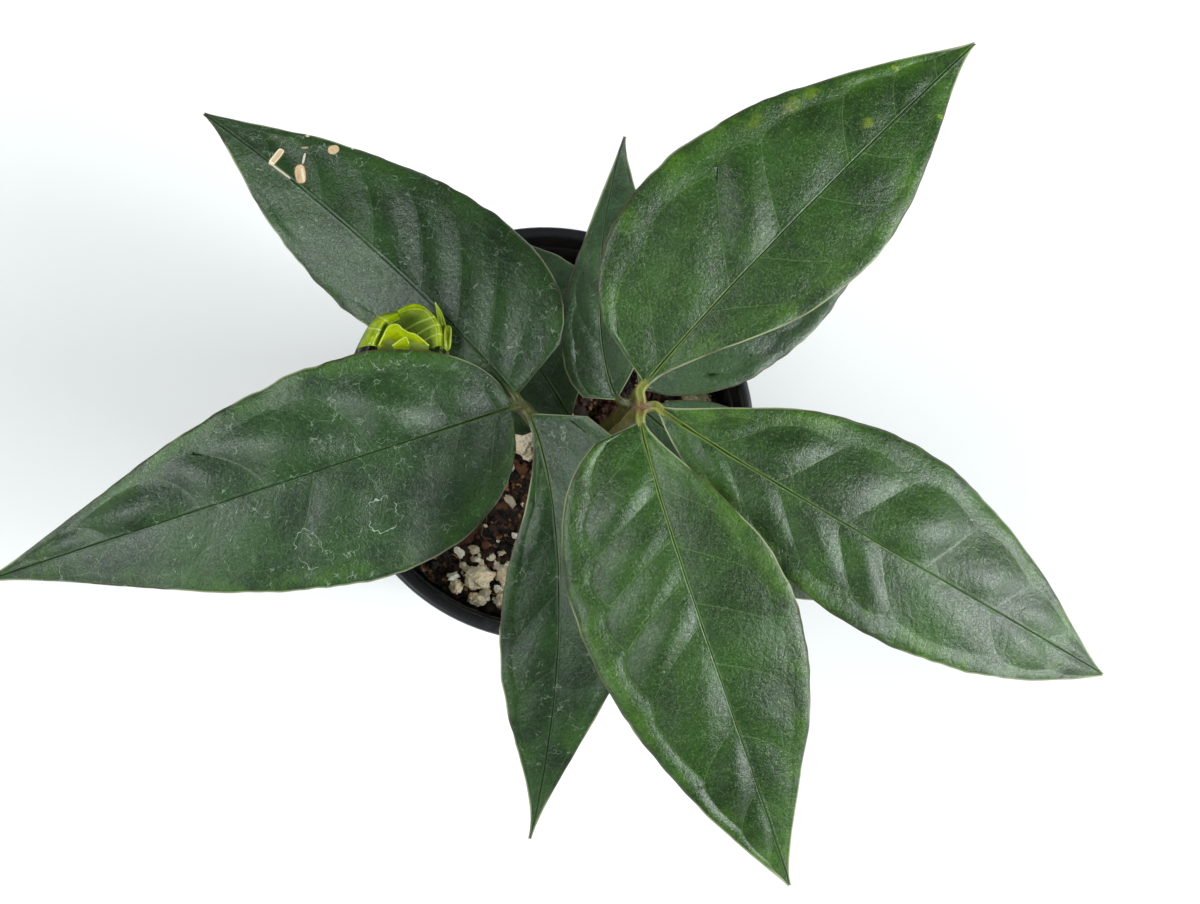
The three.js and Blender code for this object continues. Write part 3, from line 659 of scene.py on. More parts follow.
def stalk(name):
    """A leaf stalk with its knee and its small stalks, grown together at the joint."""
    course, radius, knee, branch = STALKS[name]
    path = smooth_path(course, STALK_STEPS)
    shares = np.linspace(0, 1, STALK_STEPS)
    swell = np.clip((shares - 0.75) / 0.1, 0, 1)
    radii = radius + (knee - radius) * swell * swell * (3 - 2 * swell)
    radii = radii + 0.05 * np.sin(shares * 31) * radius / 1.6
    rods = [rod(name + "_main", path, radii)]
    joint = Vector(course[-1])
    lanes = [path]
    leaf_name = name.removesuffix("stalk")
    for leaf in [LEAFLETS[key] for key in LEAFLETS if key.startswith(leaf_name)]:
        points, along, _, up = midrib_at(leaf, np.array([0.0, 0.02, 0.05, 0.08, 0.12]))
        base, ahead = Vector(points[0]), Vector(along[0])
        small = 1.0 if leaf["left"]["width"] > 5 else 0.5
        bend = base - ahead * 0.35 * (base - joint).length
        guide = [joint + Vector((0, 0, -1.6)), joint.lerp(bend, 0.5), bend,
                 base - Vector(up[0]) * 0.3 * small]
        under = [Vector(p) - Vector(u) * 0.55 * small for p, u in zip(points[1:], up[1:])]
        line = smooth_path(guide + under, ARM_STEPS)
        thin = np.interp(np.linspace(0, 1, ARM_STEPS), [0, 0.3, 0.5, 0.7, 1], [1.05, 1.0, 1.05, 0.7, 0.2])
        rods.append(rod(name + "_arm", line, thin * branch))
        lanes.append(line)
    thing = joined(rods, name + "_body")
    modify(thing, "REMESH", mode="VOXEL", voxel_size=VOXEL * MM)
    modify(thing, "SMOOTH", factor=0.5, iterations=6)
    smooth(thing)
    groove_arms(thing, lanes, joint, branch)
    return thing


def groove_arms(thing, lanes, joint, radius):
    """Cuts the channel along the top of each small stalk and notes where every point lies on its stalk."""
    spots = [(line, i) for line in lanes for i in range(len(line))]
    tree = KDTree(len(spots))
    for index, (line, i) in enumerate(spots):
        tree.insert(line[i], index)
    tree.balance()
    lane = []
    normals = [v.normal.copy() for v in thing.data.vertices]
    for v, normal in zip(thing.data.vertices, normals):
        place = Vector(v.co) / MM
        line, i = spots[tree.find(place)[1]]
        ahead = (line[min(i + 1, len(line) - 1)] - line[max(i - 1, 0)]).normalized()
        across = ahead.cross(Vector((0, 0, 1))).normalized()
        offset = (place - line[i]).dot(across) / radius
        on_top = 0.0 if line is lanes[0] else max(0.0, normal.z)
        fade = min(1.0, i / 5)
        v.co -= normal * (on_top * fade * 0.32 * math.exp(-(offset / 0.38) ** 2) * MM)
        lane.append((offset, on_top * fade, (place - joint).length))
    write_attribute(thing.data, "lane", lane)


# Pot, mix, stones and stem

def pot_inside(z):
    share = (z - POT["floor"]) / (POT["height"] - POT["collar_depth"] - POT["floor"])
    return POT["base"] - POT["wall"] + (POT["body"] - POT["base"]) * share


def turned(name, profile, sides):
    """A shape turned on the pot's axis: a disc extruded and resized from ring to ring."""
    radius, height = profile[0]
    bpy.ops.mesh.primitive_circle_add(vertices=sides, radius=radius * MM, fill_type="NGON",
                                      location=(0, 0, height * MM))
    thing = settle(named(name))
    mode("EDIT")
    bpy.ops.mesh.select_all(action="SELECT")
    for wide, high in profile[1:]:
        bpy.ops.mesh.extrude_region_move(TRANSFORM_OT_translate={"value": (0, 0, (high - height) * MM)})
        grow = wide / radius
        bpy.ops.transform.resize(value=(grow, grow, 1), center_override=(0, 0, high * MM))
        radius, height = wide, high
    bpy.ops.mesh.select_all(action="SELECT")
    bpy.ops.mesh.normals_make_consistent(inside=False)
    mode("OBJECT")
    return thing


def pot():
    top, foot = POT["height"], POT["height"] - POT["collar_depth"]
    step, lip = top - POT["step_depth"], top - POT["lip_depth"]
    base, collar_foot, wide, inside = (POT[key] for key in ("base", "collar_foot", "lip", "lip_inside"))
    profile = [   # from the base up the outside, over the lip and down the inside
        (base - 2.4, 0.7), (base - 1.6, 0), (base - 0.7, 0), (base, 0.7),
        (base + 0.2, 2), (POT["body"], foot - 0.8), (collar_foot - 0.3, foot - 0.3),
        (collar_foot, foot + 0.3), (POT["collar"], lip - 0.3), (wide - 0.3, lip),
        (wide, lip + 0.5), (wide, top - 0.9), (wide - 0.3, top - 0.25), (wide - 0.9, top),
        (inside + 1.1, top), (inside + 0.3, top - 0.3), (inside, top - 1), (inside - 0.3, step + 0.4),
        (inside - 0.6, step), (inside - 1.1, step), (pot_inside(foot), foot),
        (pot_inside(POT["floor"]), POT["floor"]),
    ]
    thing = turned("pot_shell", profile, 128)
    modify(thing, "BEVEL", width=0.35 * MM, segments=2, limit_method="ANGLE",
           angle_limit=math.radians(28))
    for i in range(DRAIN["count"]):
        turn = math.tau * i / DRAIN["count"]
        bpy.ops.mesh.primitive_cylinder_add(
            vertices=32, radius=DRAIN["radius"] * MM, depth=8 * MM,
            location=(DRAIN["ring"] * MM * math.cos(turn), DRAIN["ring"] * MM * math.sin(turn), 0))
        cutter = settle(named("drain_cutter"))
        modify(thing, "BOOLEAN", object=cutter, operation="DIFFERENCE", solver="EXACT")
        bpy.data.objects.remove(cutter)
    only(thing)
    bpy.ops.object.shade_smooth_by_angle(angle=math.radians(35))
    return dress(thing, black_plastic(), "pot", "pot")


def wobble(x, y, z):
    """Small repeatable wobble of the mix, between -1.5 and 1.5."""
    broad = math.sin(2.1 * x + 1.3 * z) * math.cos(1.7 * y - 0.8 * x)
    return broad + 0.5 * math.sin(4.3 * y + 3.1 * z + x)


def mix_height(x, y):
    """Height of the mix's surface, in millimetres."""
    calm = 1 - min(1.0, math.hypot(x, y) / CALM_REACH) ** 6
    spot = Vector((x, y, 3.7))
    lumps = 0.9 * calm * wobble(x / 6, y / 6, 0.4)
    lumps += 0.9 * noise.fractal(spot / 5, 0.8, 2.0, 4) + 0.5 * noise.fractal(spot / 1.6, 0.6, 2.0, 4)
    return MIX_LEVEL + lumps


def mix_body(edge):
    """The mix: a rough top on a plug that follows the pot's inner wall."""
    bpy.ops.mesh.primitive_grid_add(x_subdivisions=MIX_STEPS, y_subdivisions=MIX_STEPS,
                                    size=2 * edge * MM, location=(0, 0, MIX_LEVEL * MM))
    top = settle(named("mix_top"))
    mode("EDIT")
    bpy.ops.mesh.select_mode(type="VERT")
    bpy.ops.mesh.select_all(action="DESELECT")
    mode("OBJECT")
    for v in top.data.vertices:
        v.select = math.hypot(v.co.x, v.co.y) > edge * MM
    mode("EDIT")
    bpy.ops.mesh.delete(type="VERT")
    mode("OBJECT")
    for v in top.data.vertices:
        v.co.z = mix_height(v.co.x / MM, v.co.y / MM) * MM
    foot = POT["floor"] + 0.3
    plug = turned("mix_plug", [(pot_inside(foot) - 0.3, foot), (edge - 0.4, MIX_LEVEL - 2)], 96)
    thing = joined([top, plug], "potting_mix")
    bpy.ops.object.shade_smooth()
    return dress(thing, dark_mix(), "mix", "soil")


def lump(name, half, seed, subdivisions, rough, grain):
    """A rough lump centred on the origin, half-sizes in millimetres. rough is how deep its dents are as a
    share of its size, and a greater grain makes them smaller."""
    bpy.ops.mesh.primitive_ico_sphere_add(subdivisions=subdivisions, radius=1)
    thing = named(name)
    for v in thing.data.vertices:
        way = Vector(v.co)
        spot = way * 1.3 * grain + Vector((seed * 3.1, seed * 1.7, seed * 0.9))
        dents = 1.6 * noise.noise(spot) + 0.8 * noise.noise(spot * 2.7) + 0.35 * noise.noise(spot * 6)
        size = 1 + rough * dents
        v.co = Vector((way.x * half[0], way.y * half[1], way.z * half[2])) * size * MM
    return thing


def stones(kind, table, finish, slot, seed, rough, grain):
    """Stones or chips half sunk in the mix, from their table."""
    for i, ((x, y), half, turn) in enumerate(table):
        name = f"{kind}_{i + 1}"
        thing = lump(name + "_stone", half, seed + i, 5, rough, grain)
        thing.rotation_euler = (0, 0, math.radians(turn))
        thing.location = (x * MM, y * MM, (MIX_LEVEL + 0.35 * half[2]) * MM)
        settle(thing)
        bpy.ops.object.shade_smooth()
        dress(thing, finish, slot, name)


def scatter(name, count, models, finish, slot, seed, sizes=(0.6, 1.4), lift=0.2, keep=lambda x, y: True):
    """Small bits strewn over the mix where keep lets them lie, each a copy of one of a few modelled ones."""
    draw = random.Random(seed)
    reach = STREWN_REACH
    bits = []
    while len(bits) < count:
        x, y = draw.uniform(-reach, reach), draw.uniform(-reach, reach)
        model = draw.choice(models)
        size = draw.uniform(*sizes)
        turn = Euler((draw.uniform(-0.6, 0.6), draw.uniform(-0.6, 0.6), draw.uniform(0, math.tau)))
        tint = draw.random()
        if math.hypot(x, y) > reach or not keep(x, y):
            continue
        bit = linked(name, model.data.copy())
        place = Matrix.Translation(Vector((x, y, mix_height(x, y) + lift * size)) * MM)
        bit.data.transform(place @ turn.to_matrix().to_4x4() @ Matrix.Scale(size, 4))
        write_attribute(bit.data, "tint", [(tint, size, 0)] * len(bit.data.vertices))
        bits.append(bit)
    for model in models:
        bpy.data.objects.remove(model)
    thing = joined(bits, name)
    bpy.ops.object.shade_smooth_by_angle(angle=math.radians(40))
    return dress(thing, finish, slot)


def bit_models(halves, seed, rough, grain):
    return [lump("bit", half, seed + i, 2, rough, grain) for i, half in enumerate(halves)]


def bark_models():
    halves = [(1.6, 1, 0.6), (1.2, 0.9, 0.7), (2.2, 0.7, 0.5), (0.9, 0.8, 0.6), (1.5, 1.3, 0.5), (0.7, 0.5, 0.4)]
    return bit_models(halves, 60, 0.3, 1.4)


def grit_models():
    return bit_models([(0.8, 0.6, 0.5), (0.6, 0.5, 0.5), (1, 0.7, 0.6), (1.3, 0.8, 0.7)], 80, 0.42, 1.5)


def fibre_models():
    models = []
    for i in range(5):
        bow = 0.8 + 0.5 * i
        course = [(-3, 0, 0.1), (-1.2, bow * 0.5, 0.5), (1, -bow * 0.3, 0.2), (3.2, bow * 0.4, 0.4)]
        models.append(rod("fibre", smooth_path(course, 9), [0.12] * 9, rounding=0, caps=False))
    return models


def stem():
    """The short stem with its rings of old leaf scars."""
    radius, tip, step = STEM["radius"], STEM["tip"], STEM["scar_step"]
    rings = [(radius * (0.97 + 0.05 * (i % 3 == 0)), STEM["foot"] + i * step)
             for i in range(int((STEM["scars"] - STEM["foot"]) / step) + 1)]
    rings += [(radius * 0.9, STEM["scars"] + 1.2), (radius * 0.7, tip - 1.2), (0.6, tip)]
    thing = turned("stem_body", rings, 40)
    thing.data.transform(Matrix.Translation((STEM["x"] * MM, STEM["y"] * MM, 0)))
    smooth(thing)
    return dress(thing, dry_husk("stem_bark", colour(92, 74, 44), colour(50, 38, 24)), "stem", "stem")


def bracts():
    husk = dry_husk("dry_bract", colour(158, 120, 78), colour(96, 66, 40))
    hug = -math.degrees(BRACT["width"] / BRACT["reach"])
    half = side(BRACT["width"], 0.35, 0.9, 0, hug)
    for i, angle in enumerate(BRACT["angles"]):
        turn = math.radians(angle)
        name = f"bract_{i + 1}"
        x = STEM["x"] + BRACT["reach"] * math.cos(turn)
        y = STEM["y"] + BRACT["reach"] * math.sin(turn)
        LEAFLETS[name] = leaflet("new", (x, y, BRACT["foot"]), BRACT["length"], angle + 180,
                                 swing=0, bend=1, rise=96, fall=118, left=half, right=half)
        dress(blade(name), husk, "bract", name)


# Finishes

LEAF_COLOURS = {
    "old": dict(deep=(24, 44, 22), body=(42, 70, 32), fresh=(62, 100, 26), vein=(90, 112, 78)),
    "top": dict(deep=(24, 46, 12), body=(44, 76, 24), fresh=(78, 118, 24), vein=(104, 132, 76)),
    # painted light: the under look's greens are lifted to stand in for sheen the low leaves catch
    "under": dict(deep=(38, 56, 36), body=(60, 84, 54), fresh=(72, 102, 48), vein=(96, 116, 84)),
}


def leaf_finish(name, look, patchy, scratches, rib_pale=0.45, marks=()):
    """Leathery blade: mottled green, fine pale veins and edge, painted shade along the midrib's groove, and a
    fine grain that makes a grey sheen.
    """
    tone = {part: colour(*shade) for part, shade in LEAF_COLOURS[look].items()}
    f = Finish(name + "_skin")
    place = f.place()
    cell, rim, rib = f.values("veins")
    edge, pitch, under = f.values("lay")
    share, _, _ = f.parts(f.node("ShaderNodeTexCoord", output="UV"))
    side_vein = abs(cell - cell.math("ROUND", cell)) * pitch
    inside = f.between(rim, 0.2, -0.2)
    lateral = f.between(side_vein, 0.24, 0.06) * inside
    collector = f.between(abs(rim), 0.26, 0.06)
    near_rib = abs(rib) / (1.35 - 0.85 * share)
    ridge = f.between(abs(near_rib - 0.29), 0.17, 0.07)
    painted_groove_shade = f.between(near_rib, 0.17, 0.06)
    foot = f.between(share, 0.4, 0.0)

    broad = f.noise(place, 14, 4, 0.6)
    mottle = f.noise(place, 2.2, 4, 0.65)
    grain = f.noise(place, 0.5, 3, 0.75, 0.8)
    green = f.mix(f.between(broad, 0.35, 0.68), tone["deep"], tone["body"])
    green = f.mix(f.between(mottle, 0.35, 0.75) * 0.4, green, tone["body"])
    patch = f.between(f.noise(place, 8, 3, 0.6), 0.38, 0.7) * f.between(edge, 7, 1.5) * patchy
    green = f.mix(patch, green, tone["fresh"])
    green = f.mix(f.between(grain, 0.52, 0.72) * 0.5, green, tone["vein"])
    green = f.mix(f.between(grain, 0.5, 0.32) * 0.6, green, tone["deep"])
    green = f.mix(lateral.math("MAXIMUM", lateral, collector * 0.5) * 0.28, green, tone["vein"])
    rib_tint = f.mix(foot, tone["vein"], colour(110, 126, 52))
    green = f.mix(ridge * (rib_pale + (0.15 if look == "top" else 0.0) * foot), green, rib_tint)
    # painted shade: the midrib's groove darkened toward the deep green
    green = f.mix(painted_groove_shade * 0.85, green, tone["deep"])
    rim_parts = f.between(f.noise(place, 22, 1), 0.46, 0.54)
    rim_tint = f.mix(rim_parts, colour(176, 178, 140), colour(92, 70, 62))
    green = f.mix(f.between(edge, 0.5, 0.12) * 0.6, green, rim_tint)

    scratch = squiggles(f, place) * scratches
    for kind, *where, tint, strength in marks:
        mask = kind(f, place, *where)
        green = f.mix(mask * strength, green, tint)
    green = f.mix(scratch * 0.38, green, colour(150, 166, 146))

    below = f.mix(f.between(mottle, 0.3, 0.7), colour(84, 110, 66), colour(98, 124, 78))
    below = f.mix(lateral.math("MAXIMUM", lateral, ridge) * 0.6, below, colour(140, 156, 96))
    below_share = f.between(under, 0.4, 0.6)
    relief = leaf_relief(f, place, grain) + scratch * 0.05
    f.set(base_color=f.mix(below_share, green, below),
          roughness=0.21 + 0.18 * grain + 0.2 * below_share,
          normal=f.bump(relief))
    return f.material


def squiggles(f, place):
    """Short wandering scratches: broken pieces of a bent net."""
    wander = f.node("ShaderNodeTexNoise", None, {"Vector": place, "Scale": 1 / 1.7, "Detail": 1}, "Color")
    bent = f.node("ShaderNodeVectorMath", dict(operation="MULTIPLY_ADD"),
                  {0: wander, 1: (3, 3, 3), 2: place})
    line = f.between(f.cells(bent, 4.2, "DISTANCE_TO_EDGE"), 0.026, 0.01)
    broken = f.between(f.noise(place, 2.2, 0), 0.5, 0.58)
    patches = f.between(f.noise(place, 9, 2), 0.38, 0.58)
    return line * broken * patches


def oval(f, place, middle, long, wide, turn):
    """How far a point lies along and across an oval, counted in its half-length and half-width. The oval's
    middle is a place on the plan in mm, and its turn is in degrees."""
    x, y, _ = f.parts(place)
    dx, dy = x - middle[0], y - middle[1]
    c, s = math.cos(math.radians(turn)), math.sin(math.radians(turn))
    return (dx * c + dy * s) / long, (dy * c - dx * s) / wide


def blotch(f, place, middle, long, wide, turn, ragged, soft=0.3, power=2):
    """A ragged patch, oval at power 2 and squarer above."""
    u, w = oval(f, place, middle, long, wide, turn)
    off = abs(u) ** power + abs(w) ** power + (f.noise(place, 1.1, 2) - 0.5) * ragged
    return f.between(off, 1.05, 1.05 - soft)


def outline(f, place, middle, long, wide, turn, thin):
    """The ragged, broken rim of an oval patch."""
    u, w = oval(f, place, middle, long, wide, turn)
    off = (u * u + w * w) ** 0.5 + (f.noise(place, 1.7, 1) - 0.5) * 0.9
    return f.between(abs(off - 1), thin, thin * 0.3) * f.between(f.noise(place, 3.5, 0), 0.36, 0.42)


def leaf_relief(f, place, grain):
    """Height of the fine relief, in millimetres."""
    net = f.cells(place, 2.8, "DISTANCE_TO_EDGE")
    height = grain * 0.11 + f.noise(place, 1.3, 3) * 0.12 + f.noise(place, 5, 2) * 0.3
    return height + f.between(net, 0.0, 0.14) * 0.02


def new_leaf_finish():
    """Fresh blade, still soft and wet-looking, with painted shade deeper in its curl."""
    f = Finish("fresh_leaf")
    place = f.place()
    _, _, rib = f.values("veins")
    edge, _, _ = f.values("lay")
    from_rib, depth, curled = f.values("curled")
    line = f.between(from_rib, 0.34, 0.2) * curled
    line = line.math("MAXIMUM", line, f.between(abs(rib), 0.3, 0.1))
    lime = f.mix(f.between(f.noise(place, 3, 3), 0.35, 0.65), colour(112, 134, 8), colour(150, 164, 16))
    # painted shade: darker olive the deeper a point lies in the curl
    lime = f.mix(depth * 0.9, lime, colour(86, 110, 0))
    lime = f.mix(line * 0.5, lime, colour(176, 194, 90))
    lime = f.mix(f.between(edge, 0.26, 0.1) * 0.6, lime, colour(178, 196, 84))
    height = f.noise(place, 0.5, 2) * 0.03 + f.noise(place, 1.8, 2) * 0.3 + line * 0.12
    f.set(base_color=lime, roughness=0.15 + 0.1 * f.noise(place, 0.6, 2) + 0.55 * depth,
          normal=f.bump(height), specular_ior_level=0.25, subsurface_weight=0.15,
          subsurface_radius=(0.6, 1.0, 0.2), subsurface_scale=1.2 * MM)
    return f.material


def stalk_finish(name, arm_tint, joint_tint, lip_tint):
    """Smooth olive stalk, with tints for the small stalks, the joint and the lips of their channels."""
    f = Finish(name + "_skin")
    place = f.place()
    offset, on_top, from_joint = f.values("lane")
    streak = f.noise(f.along(place, (1.0, 1.0, 0.15)), 0.5, 3)
    patch = f.noise(place, 1.3, 3)
    skin = f.mix(f.between(streak, 0.3, 0.7), colour(70, 70, 26), colour(104, 96, 44))
    arm = f.between(from_joint, 1.5, 4.0) * f.between(from_joint, 16.0, 12.0)
    skin = f.mix(arm * 0.85 * f.between(on_top, 0.0, 0.3), skin, arm_tint)
    skin = f.mix(f.between(from_joint, 3.2, 1.2) * (0.35 + 0.6 * patch), skin, joint_tint)
    lips = f.between(abs(abs(offset) - 0.62), 0.3, 0.1) * f.between(on_top, 0.1, 0.5)
    skin = f.mix(lips * 0.35, skin, lip_tint)
    skin = f.mix(f.between(patch, 0.58, 0.7) * 0.35, skin, colour(74, 52, 30))
    f.set(base_color=skin, roughness=0.38 + 0.15 * streak,
          normal=f.bump(streak * 0.12 + f.noise(place, 0.45, 3) * 0.07))
    return f.material


def black_plastic():
    """Moulded black plastic with fine grain, faint rings and a few dusty scuffs."""
    f = Finish("black_pot_plastic")
    place = f.place()
    around = f.noise(f.along(place, (0.15, 0.15, 3.0)), 1.0, 3)
    grain = f.noise(place, 0.5, 3, 0.6)
    dust = f.between(f.noise(place, 5, 5, 0.65), 0.55, 0.75)
    black = f.mix(dust * 0.35, colour(24, 24, 28), colour(62, 61, 64))
    f.set(base_color=black, roughness=0.34 + 0.14 * dust + 0.08 * grain,
          normal=f.bump(grain * 0.03 + around * 0.05))
    return f.material


def dark_mix():
    """Damp peat and fine bark: crumbs tinted at random from nearly black to brown, darker in damp patches."""
    f = Finish("damp_potting_mix")
    place = f.place()
    crumbs = f.cells(place, 0.9, output="Color")
    shade, _, _ = f.parts(crumbs)
    brown = f.ramp(shade, (0.0, colour(10, 7, 5)), (0.45, colour(24, 15, 11)),
                   (0.72, colour(50, 30, 20)), (0.92, colour(98, 62, 40)), (1.0, colour(156, 112, 76)))
    damp = f.noise(place, 0.8, 4, 0.7)
    brown = f.mix(f.between(damp, 0.5, 0.7) * 0.6, brown, colour(16, 11, 9))
    height = f.cells(place, 0.9) * 0.8 + damp * 0.5 + f.noise(place, 0.25, 3) * 0.2
    f.set(base_color=brown, roughness=0.7 + 0.25 * damp, normal=f.bump(height))
    return f.material


def crumb_finish(name, dark, middle, light, rough=0.8):
    """Bits strewn on the mix, each with its own tint. The colours are as a screen shows them."""
    dark, middle, light = colour(*dark), colour(*middle), colour(*light)
    f = Finish(name)
    place = f.place()
    tint, _, _ = f.values("tint")
    fine = f.noise(place, 0.4, 4, 0.65)
    shade = f.ramp(tint, (0.0, dark), (0.55, middle), (1.0, light))
    shade = f.mix(f.between(fine, 0.5, 0.75) * 0.5, shade, dark)
    f.set(base_color=shade, roughness=rough - 0.1 + 0.2 * fine, normal=f.bump(fine * 0.35))
    return f.material


def pumice_finish():
    """Chalky stone full of small holes, with brown dirt in them."""
    f = Finish("pale_pumice")
    place = f.place()
    pores = f.cells(place, 0.9)
    fine = f.noise(place, 0.3, 4, 0.7)
    pale = f.mix(f.between(f.noise(place, 2.5, 3), 0.3, 0.7), colour(252, 238, 212), colour(244, 218, 180))
    pale = f.mix(f.between(pores, 0.3, 0.1) * 0.5, pale, colour(150, 112, 74))
    pale = f.mix(f.between(f.noise(place, 1.6, 4), 0.6, 0.75) * 0.5, pale, colour(120, 88, 58))
    f.set(base_color=pale, roughness=0.9, normal=f.bump(f.between(pores, 0.0, 0.5) * 0.3 + fine * 0.2))
    return f.material


def dry_husk(name, light, dark):
    """Dry fibrous husk, streaked along its length."""
    f = Finish(name)
    place = f.place()
    fibres = f.noise(f.along(place, (1, 1, 0.12)), 0.35, 4, 0.6)
    patch = f.noise(place, 2.5, 3)
    husk = f.mix(f.between(fibres, 0.35, 0.65), dark, light)
    husk = f.mix(f.between(patch, 0.5, 0.7) * 0.5, husk, dark)
    f.set(base_color=husk, roughness=0.75 + 0.15 * fibres, normal=f.bump(fibres * 0.3))
    return f.material


# The plant

def plant():
    tan, cream, white = colour(206, 178, 136), colour(232, 220, 192), colour(186, 200, 186)
    brown, rosy = colour(92, 72, 40), colour(176, 138, 118)
    lime = colour(132, 152, 30)
    skins = dict(
        new=new_leaf_finish(),
        old=leaf_finish("old", "old", 0.4, 1.0, 0.3),
        top=leaf_finish("top", "top", 0.5, 0.1),
        under=leaf_finish("under", "under", 0.25, 0.3, 0.25),
        left_leaf_upper_leaflet=leaf_finish("left_upper", "old", 0.35, 1.0, 0.1, [
            (blotch, (-66.5, 57.1), 2.8, 1.1, 57, 0.5, 0.4, 4, brown, 0.6),
            (blotch, (-66.6, 57.2), 2.4, 0.8, 57, 0.4, 0.3, 5, cream, 0.95),
            (blotch, (-66.4, 57.4), 1.9, 0.45, 57, 0.4, 0.3, 5, tan, 0.9),
            (blotch, (-65.3, 53.4), 2.8, 0.26, -40, 0.3, 0.4, 4, cream, 0.85),
            (blotch, (-60.9, 52.9), 2.9, 1.6, 98, 0.7, 0.5, 2.4, brown, 0.75),
            (blotch, (-61.0, 52.8), 2.5, 1.25, 98, 0.5, 0.3, 2.4, tan, 1.0),
            (blotch, (-60.4, 52.6), 1.9, 0.3, 100, 0.5, 0.4, 2.4, cream, 0.9),
            (blotch, (-61.4, 52.2), 1.0, 0.4, 90, 0.5, 0.8, 2.4, rosy, 0.6),
            (blotch, (-60.3, 56.6), 1.4, 0.28, 78, 0.4, 0.3, 2.4, cream, 0.75),
            (blotch, (-53.6, 58.6), 1.4, 1.15, 20, 0.5, tan, 0.95),
            (blotch, (-59.6, 62.3), 0.5, 0.4, 0, 0.5, cream, 0.8),
            (blotch, (-49.3, 59.0), 0.35, 0.3, 0, 0.3, cream, 0.8),
            (blotch, (-60.1, 59.2), 0.9, 0.3, 0, 0.6, tan, 0.5)]),
        left_leaf_middle_leaflet=leaf_finish("left_middle", "old", 0.6, 1.0, 0.15, [
            (outline, (-41.2, -25.6), 3.2, 3.9, 0, 0.028, white, 0.7),
            (outline, (-57, -33.2), 2.6, 4.4, 20, 0.028, white, 0.5)]),
        right_leaf_lower_leaflet=leaf_finish("right_lower", "top", 0.45, 0.15, 0.5),
        right_leaf_upper_leaflet=leaf_finish("right_upper", "top", 0.45, 0.1, 0.25, [
            (blotch, (61.6, 58.5), 1.8, 1.5, 20, 1.6, 1.2, lime, 0.4),
            (blotch, (44.6, 61.5), 3.0, 1.9, 30, 2.2, 1.4, lime, 0.28),
            (blotch, (49.0, 64.6), 2.4, 1.5, 20, 2.2, 1.4, lime, 0.28),
            (blotch, (36.4, 57.6), 3.0, 1.7, 40, 2.2, 1.4, lime, 0.22),
            (blotch, (68.5, 72.0), 1.2, 0.7, 0, 1.5, 1.2, lime, 0.5),
            (blotch, (78.6, 61.4), 1.1, 0.8, 0, 1.5, 1.2, lime, 0.45)]))
    for name, leaf in LEAFLETS.items():
        look = leaf["look"]
        if name == "new_leaf_middle_leaflet":
            thing = joined([sheet(facts) for facts in NEW_LEAF_SHEETS], name + "_sheets")
        else:
            thing = blade(name)
        dress(thing, skins.get(name, skins[look]), look + "_leaf", name)
    green_stalk = stalk_finish("green_stalk", colour(96, 104, 22), colour(104, 74, 50),
                               colour(160, 158, 84))
    dark_stalk = stalk_finish("dark_stalk", colour(54, 64, 24), colour(60, 56, 30), colour(96, 104, 56))
    for name in STALKS:
        skin = green_stalk if name.startswith(("right", "new")) else dark_stalk
        dress(stalk(name), skin, "stalk", name)


def in_grit(x, y):
    """White grit lies in one heap, and here and there elsewhere."""
    return math.hypot(x + 15, y + 38) < 9 or int(x * 7 + y * 13) % 9 == 0


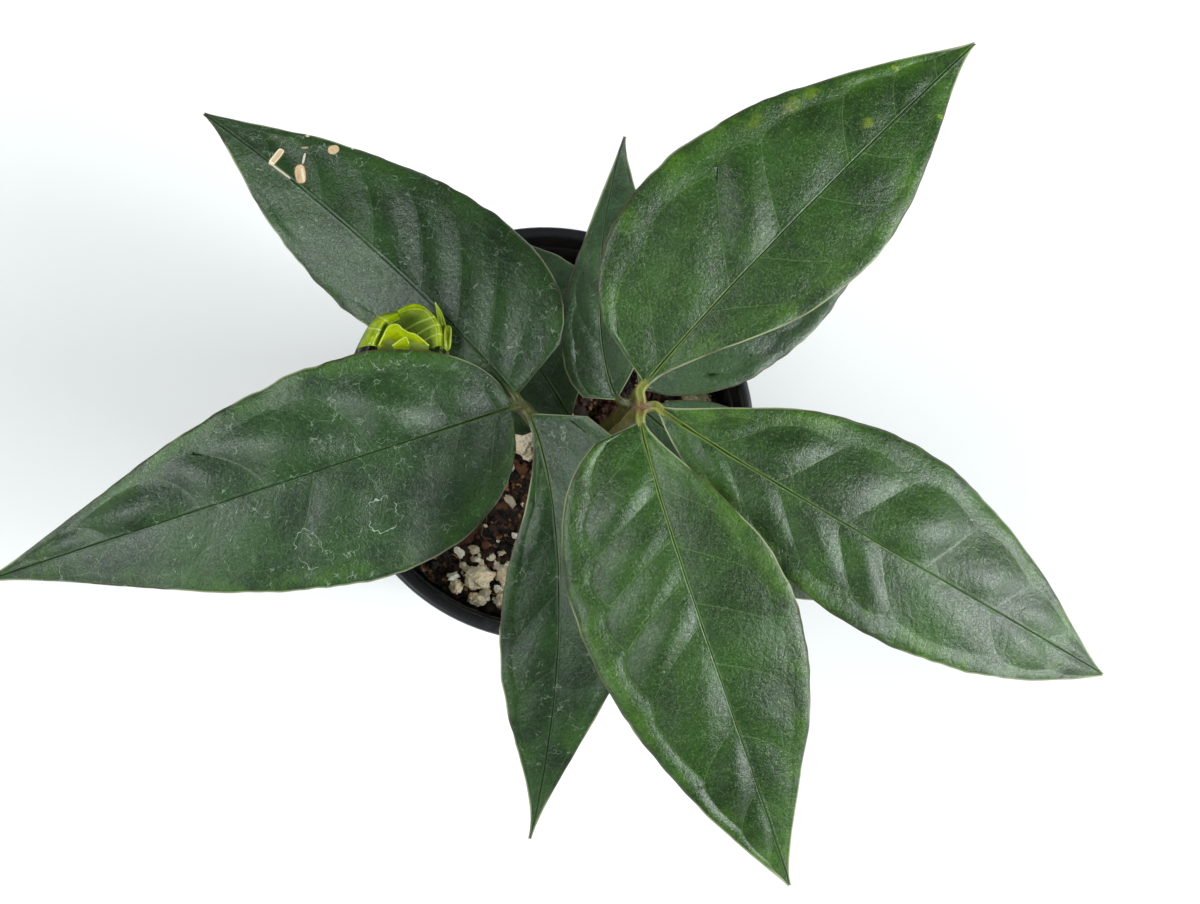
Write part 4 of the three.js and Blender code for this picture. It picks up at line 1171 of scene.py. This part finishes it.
def ground():
    mix_body(pot_inside(MIX_LEVEL) - 0.2)
    stones("pumice", PUMICE, pumice_finish(), "pumice", 7, 0.2, 1.4)
    brown = crumb_finish("bark_brown", (70, 38, 20), (150, 88, 52), (176, 108, 66))
    stones("bark_chip", BARK, brown, "bark", 40, 0.3, 1.0)
    dark = crumb_finish("dark_bark", (18, 11, 9), (54, 32, 21), (116, 70, 42))
    scatter("dark_bark_bits", 900, bark_models(), dark, "mix", 11)
    tan = crumb_finish("tan_bark", (84, 56, 36), (140, 102, 66), (186, 146, 104))
    scatter("tan_bark_bits", 240, bark_models(), tan, "bark", 12, (0.35, 0.9), 0.5)
    white = crumb_finish("white_grit", (190, 172, 146), (234, 222, 200), (252, 246, 232), 0.9)
    scatter("white_grit", 240, grit_models(), white, "pumice", 13, (0.5, 1.6), 0.7, in_grit)
    coir = crumb_finish("coir", (60, 40, 26), (120, 84, 52), (168, 126, 84))
    scatter("coir_fibres", 130, fibre_models(), coir, "mix", 14, (0.5, 1.3), 0.6)


# The studio, in metres, watts and degrees

FLOOR_SIZE = 6
FLOOR_COLOUR = (0.86, 0.86, 0.85, 1.0)
ROOM = dict(colour=(0.95, 0.98, 1.0, 1.0), strength=0.21)
DAYLIGHT = (0.94, 0.99, 1.0)
AIM = (0, 0, 0.12)
LAMPS = {   # place, side of the square and power
    "window_right": ((1.17, -0.05, 0.9), 0.6, 12),
    "window_front": ((1.17, -0.42, 0.75), 0.6, 14),
    "window_left": ((-0.86, 0.12, 1.12), 0.7, 13),
    "window_low_left": ((-0.76, -0.76, 1.02), 0.6, 5),
}
CAMERA = dict(place=(-0.0408, -0.0544, 0.5212), tilt=(6.497, -7.097, 0), lens=51.9, sensor=36)


def studio():
    bpy.ops.mesh.primitive_plane_add(size=FLOOR_SIZE)
    floor = named("floor")
    f = Finish("pale_floor")
    f.set(base_color=FLOOR_COLOUR, roughness=0.6)
    floor.data.materials.append(f.material)

    scene = bpy.context.scene
    scene.world = bpy.data.worlds.new("soft_room")
    scene.world.use_nodes = True
    room = scene.world.node_tree.nodes["Background"].inputs
    room["Color"].default_value, room["Strength"].default_value = ROOM["colour"], ROOM["strength"]

    for name, (place, wide, power) in LAMPS.items():
        light = bpy.data.lights.new(name, "AREA")
        light.shape, light.size, light.size_y, light.energy = "RECTANGLE", wide, wide, power
        light.color = DAYLIGHT
        lamp = linked(name, light)
        lamp.location = place
        lamp.rotation_euler = (Vector(AIM) - Vector(place)).to_track_quat("-Z", "Y").to_euler()

    camera = bpy.data.cameras.new("camera")
    camera.lens, camera.sensor_width = CAMERA["lens"], CAMERA["sensor"]
    scene.camera = linked("camera", camera)
    scene.camera.location = CAMERA["place"]
    scene.camera.rotation_euler = [math.radians(angle) for angle in CAMERA["tilt"]]
    scene.view_settings.view_transform = "Standard"


plant()
pot()
ground()
stem()
bracts()
studio()
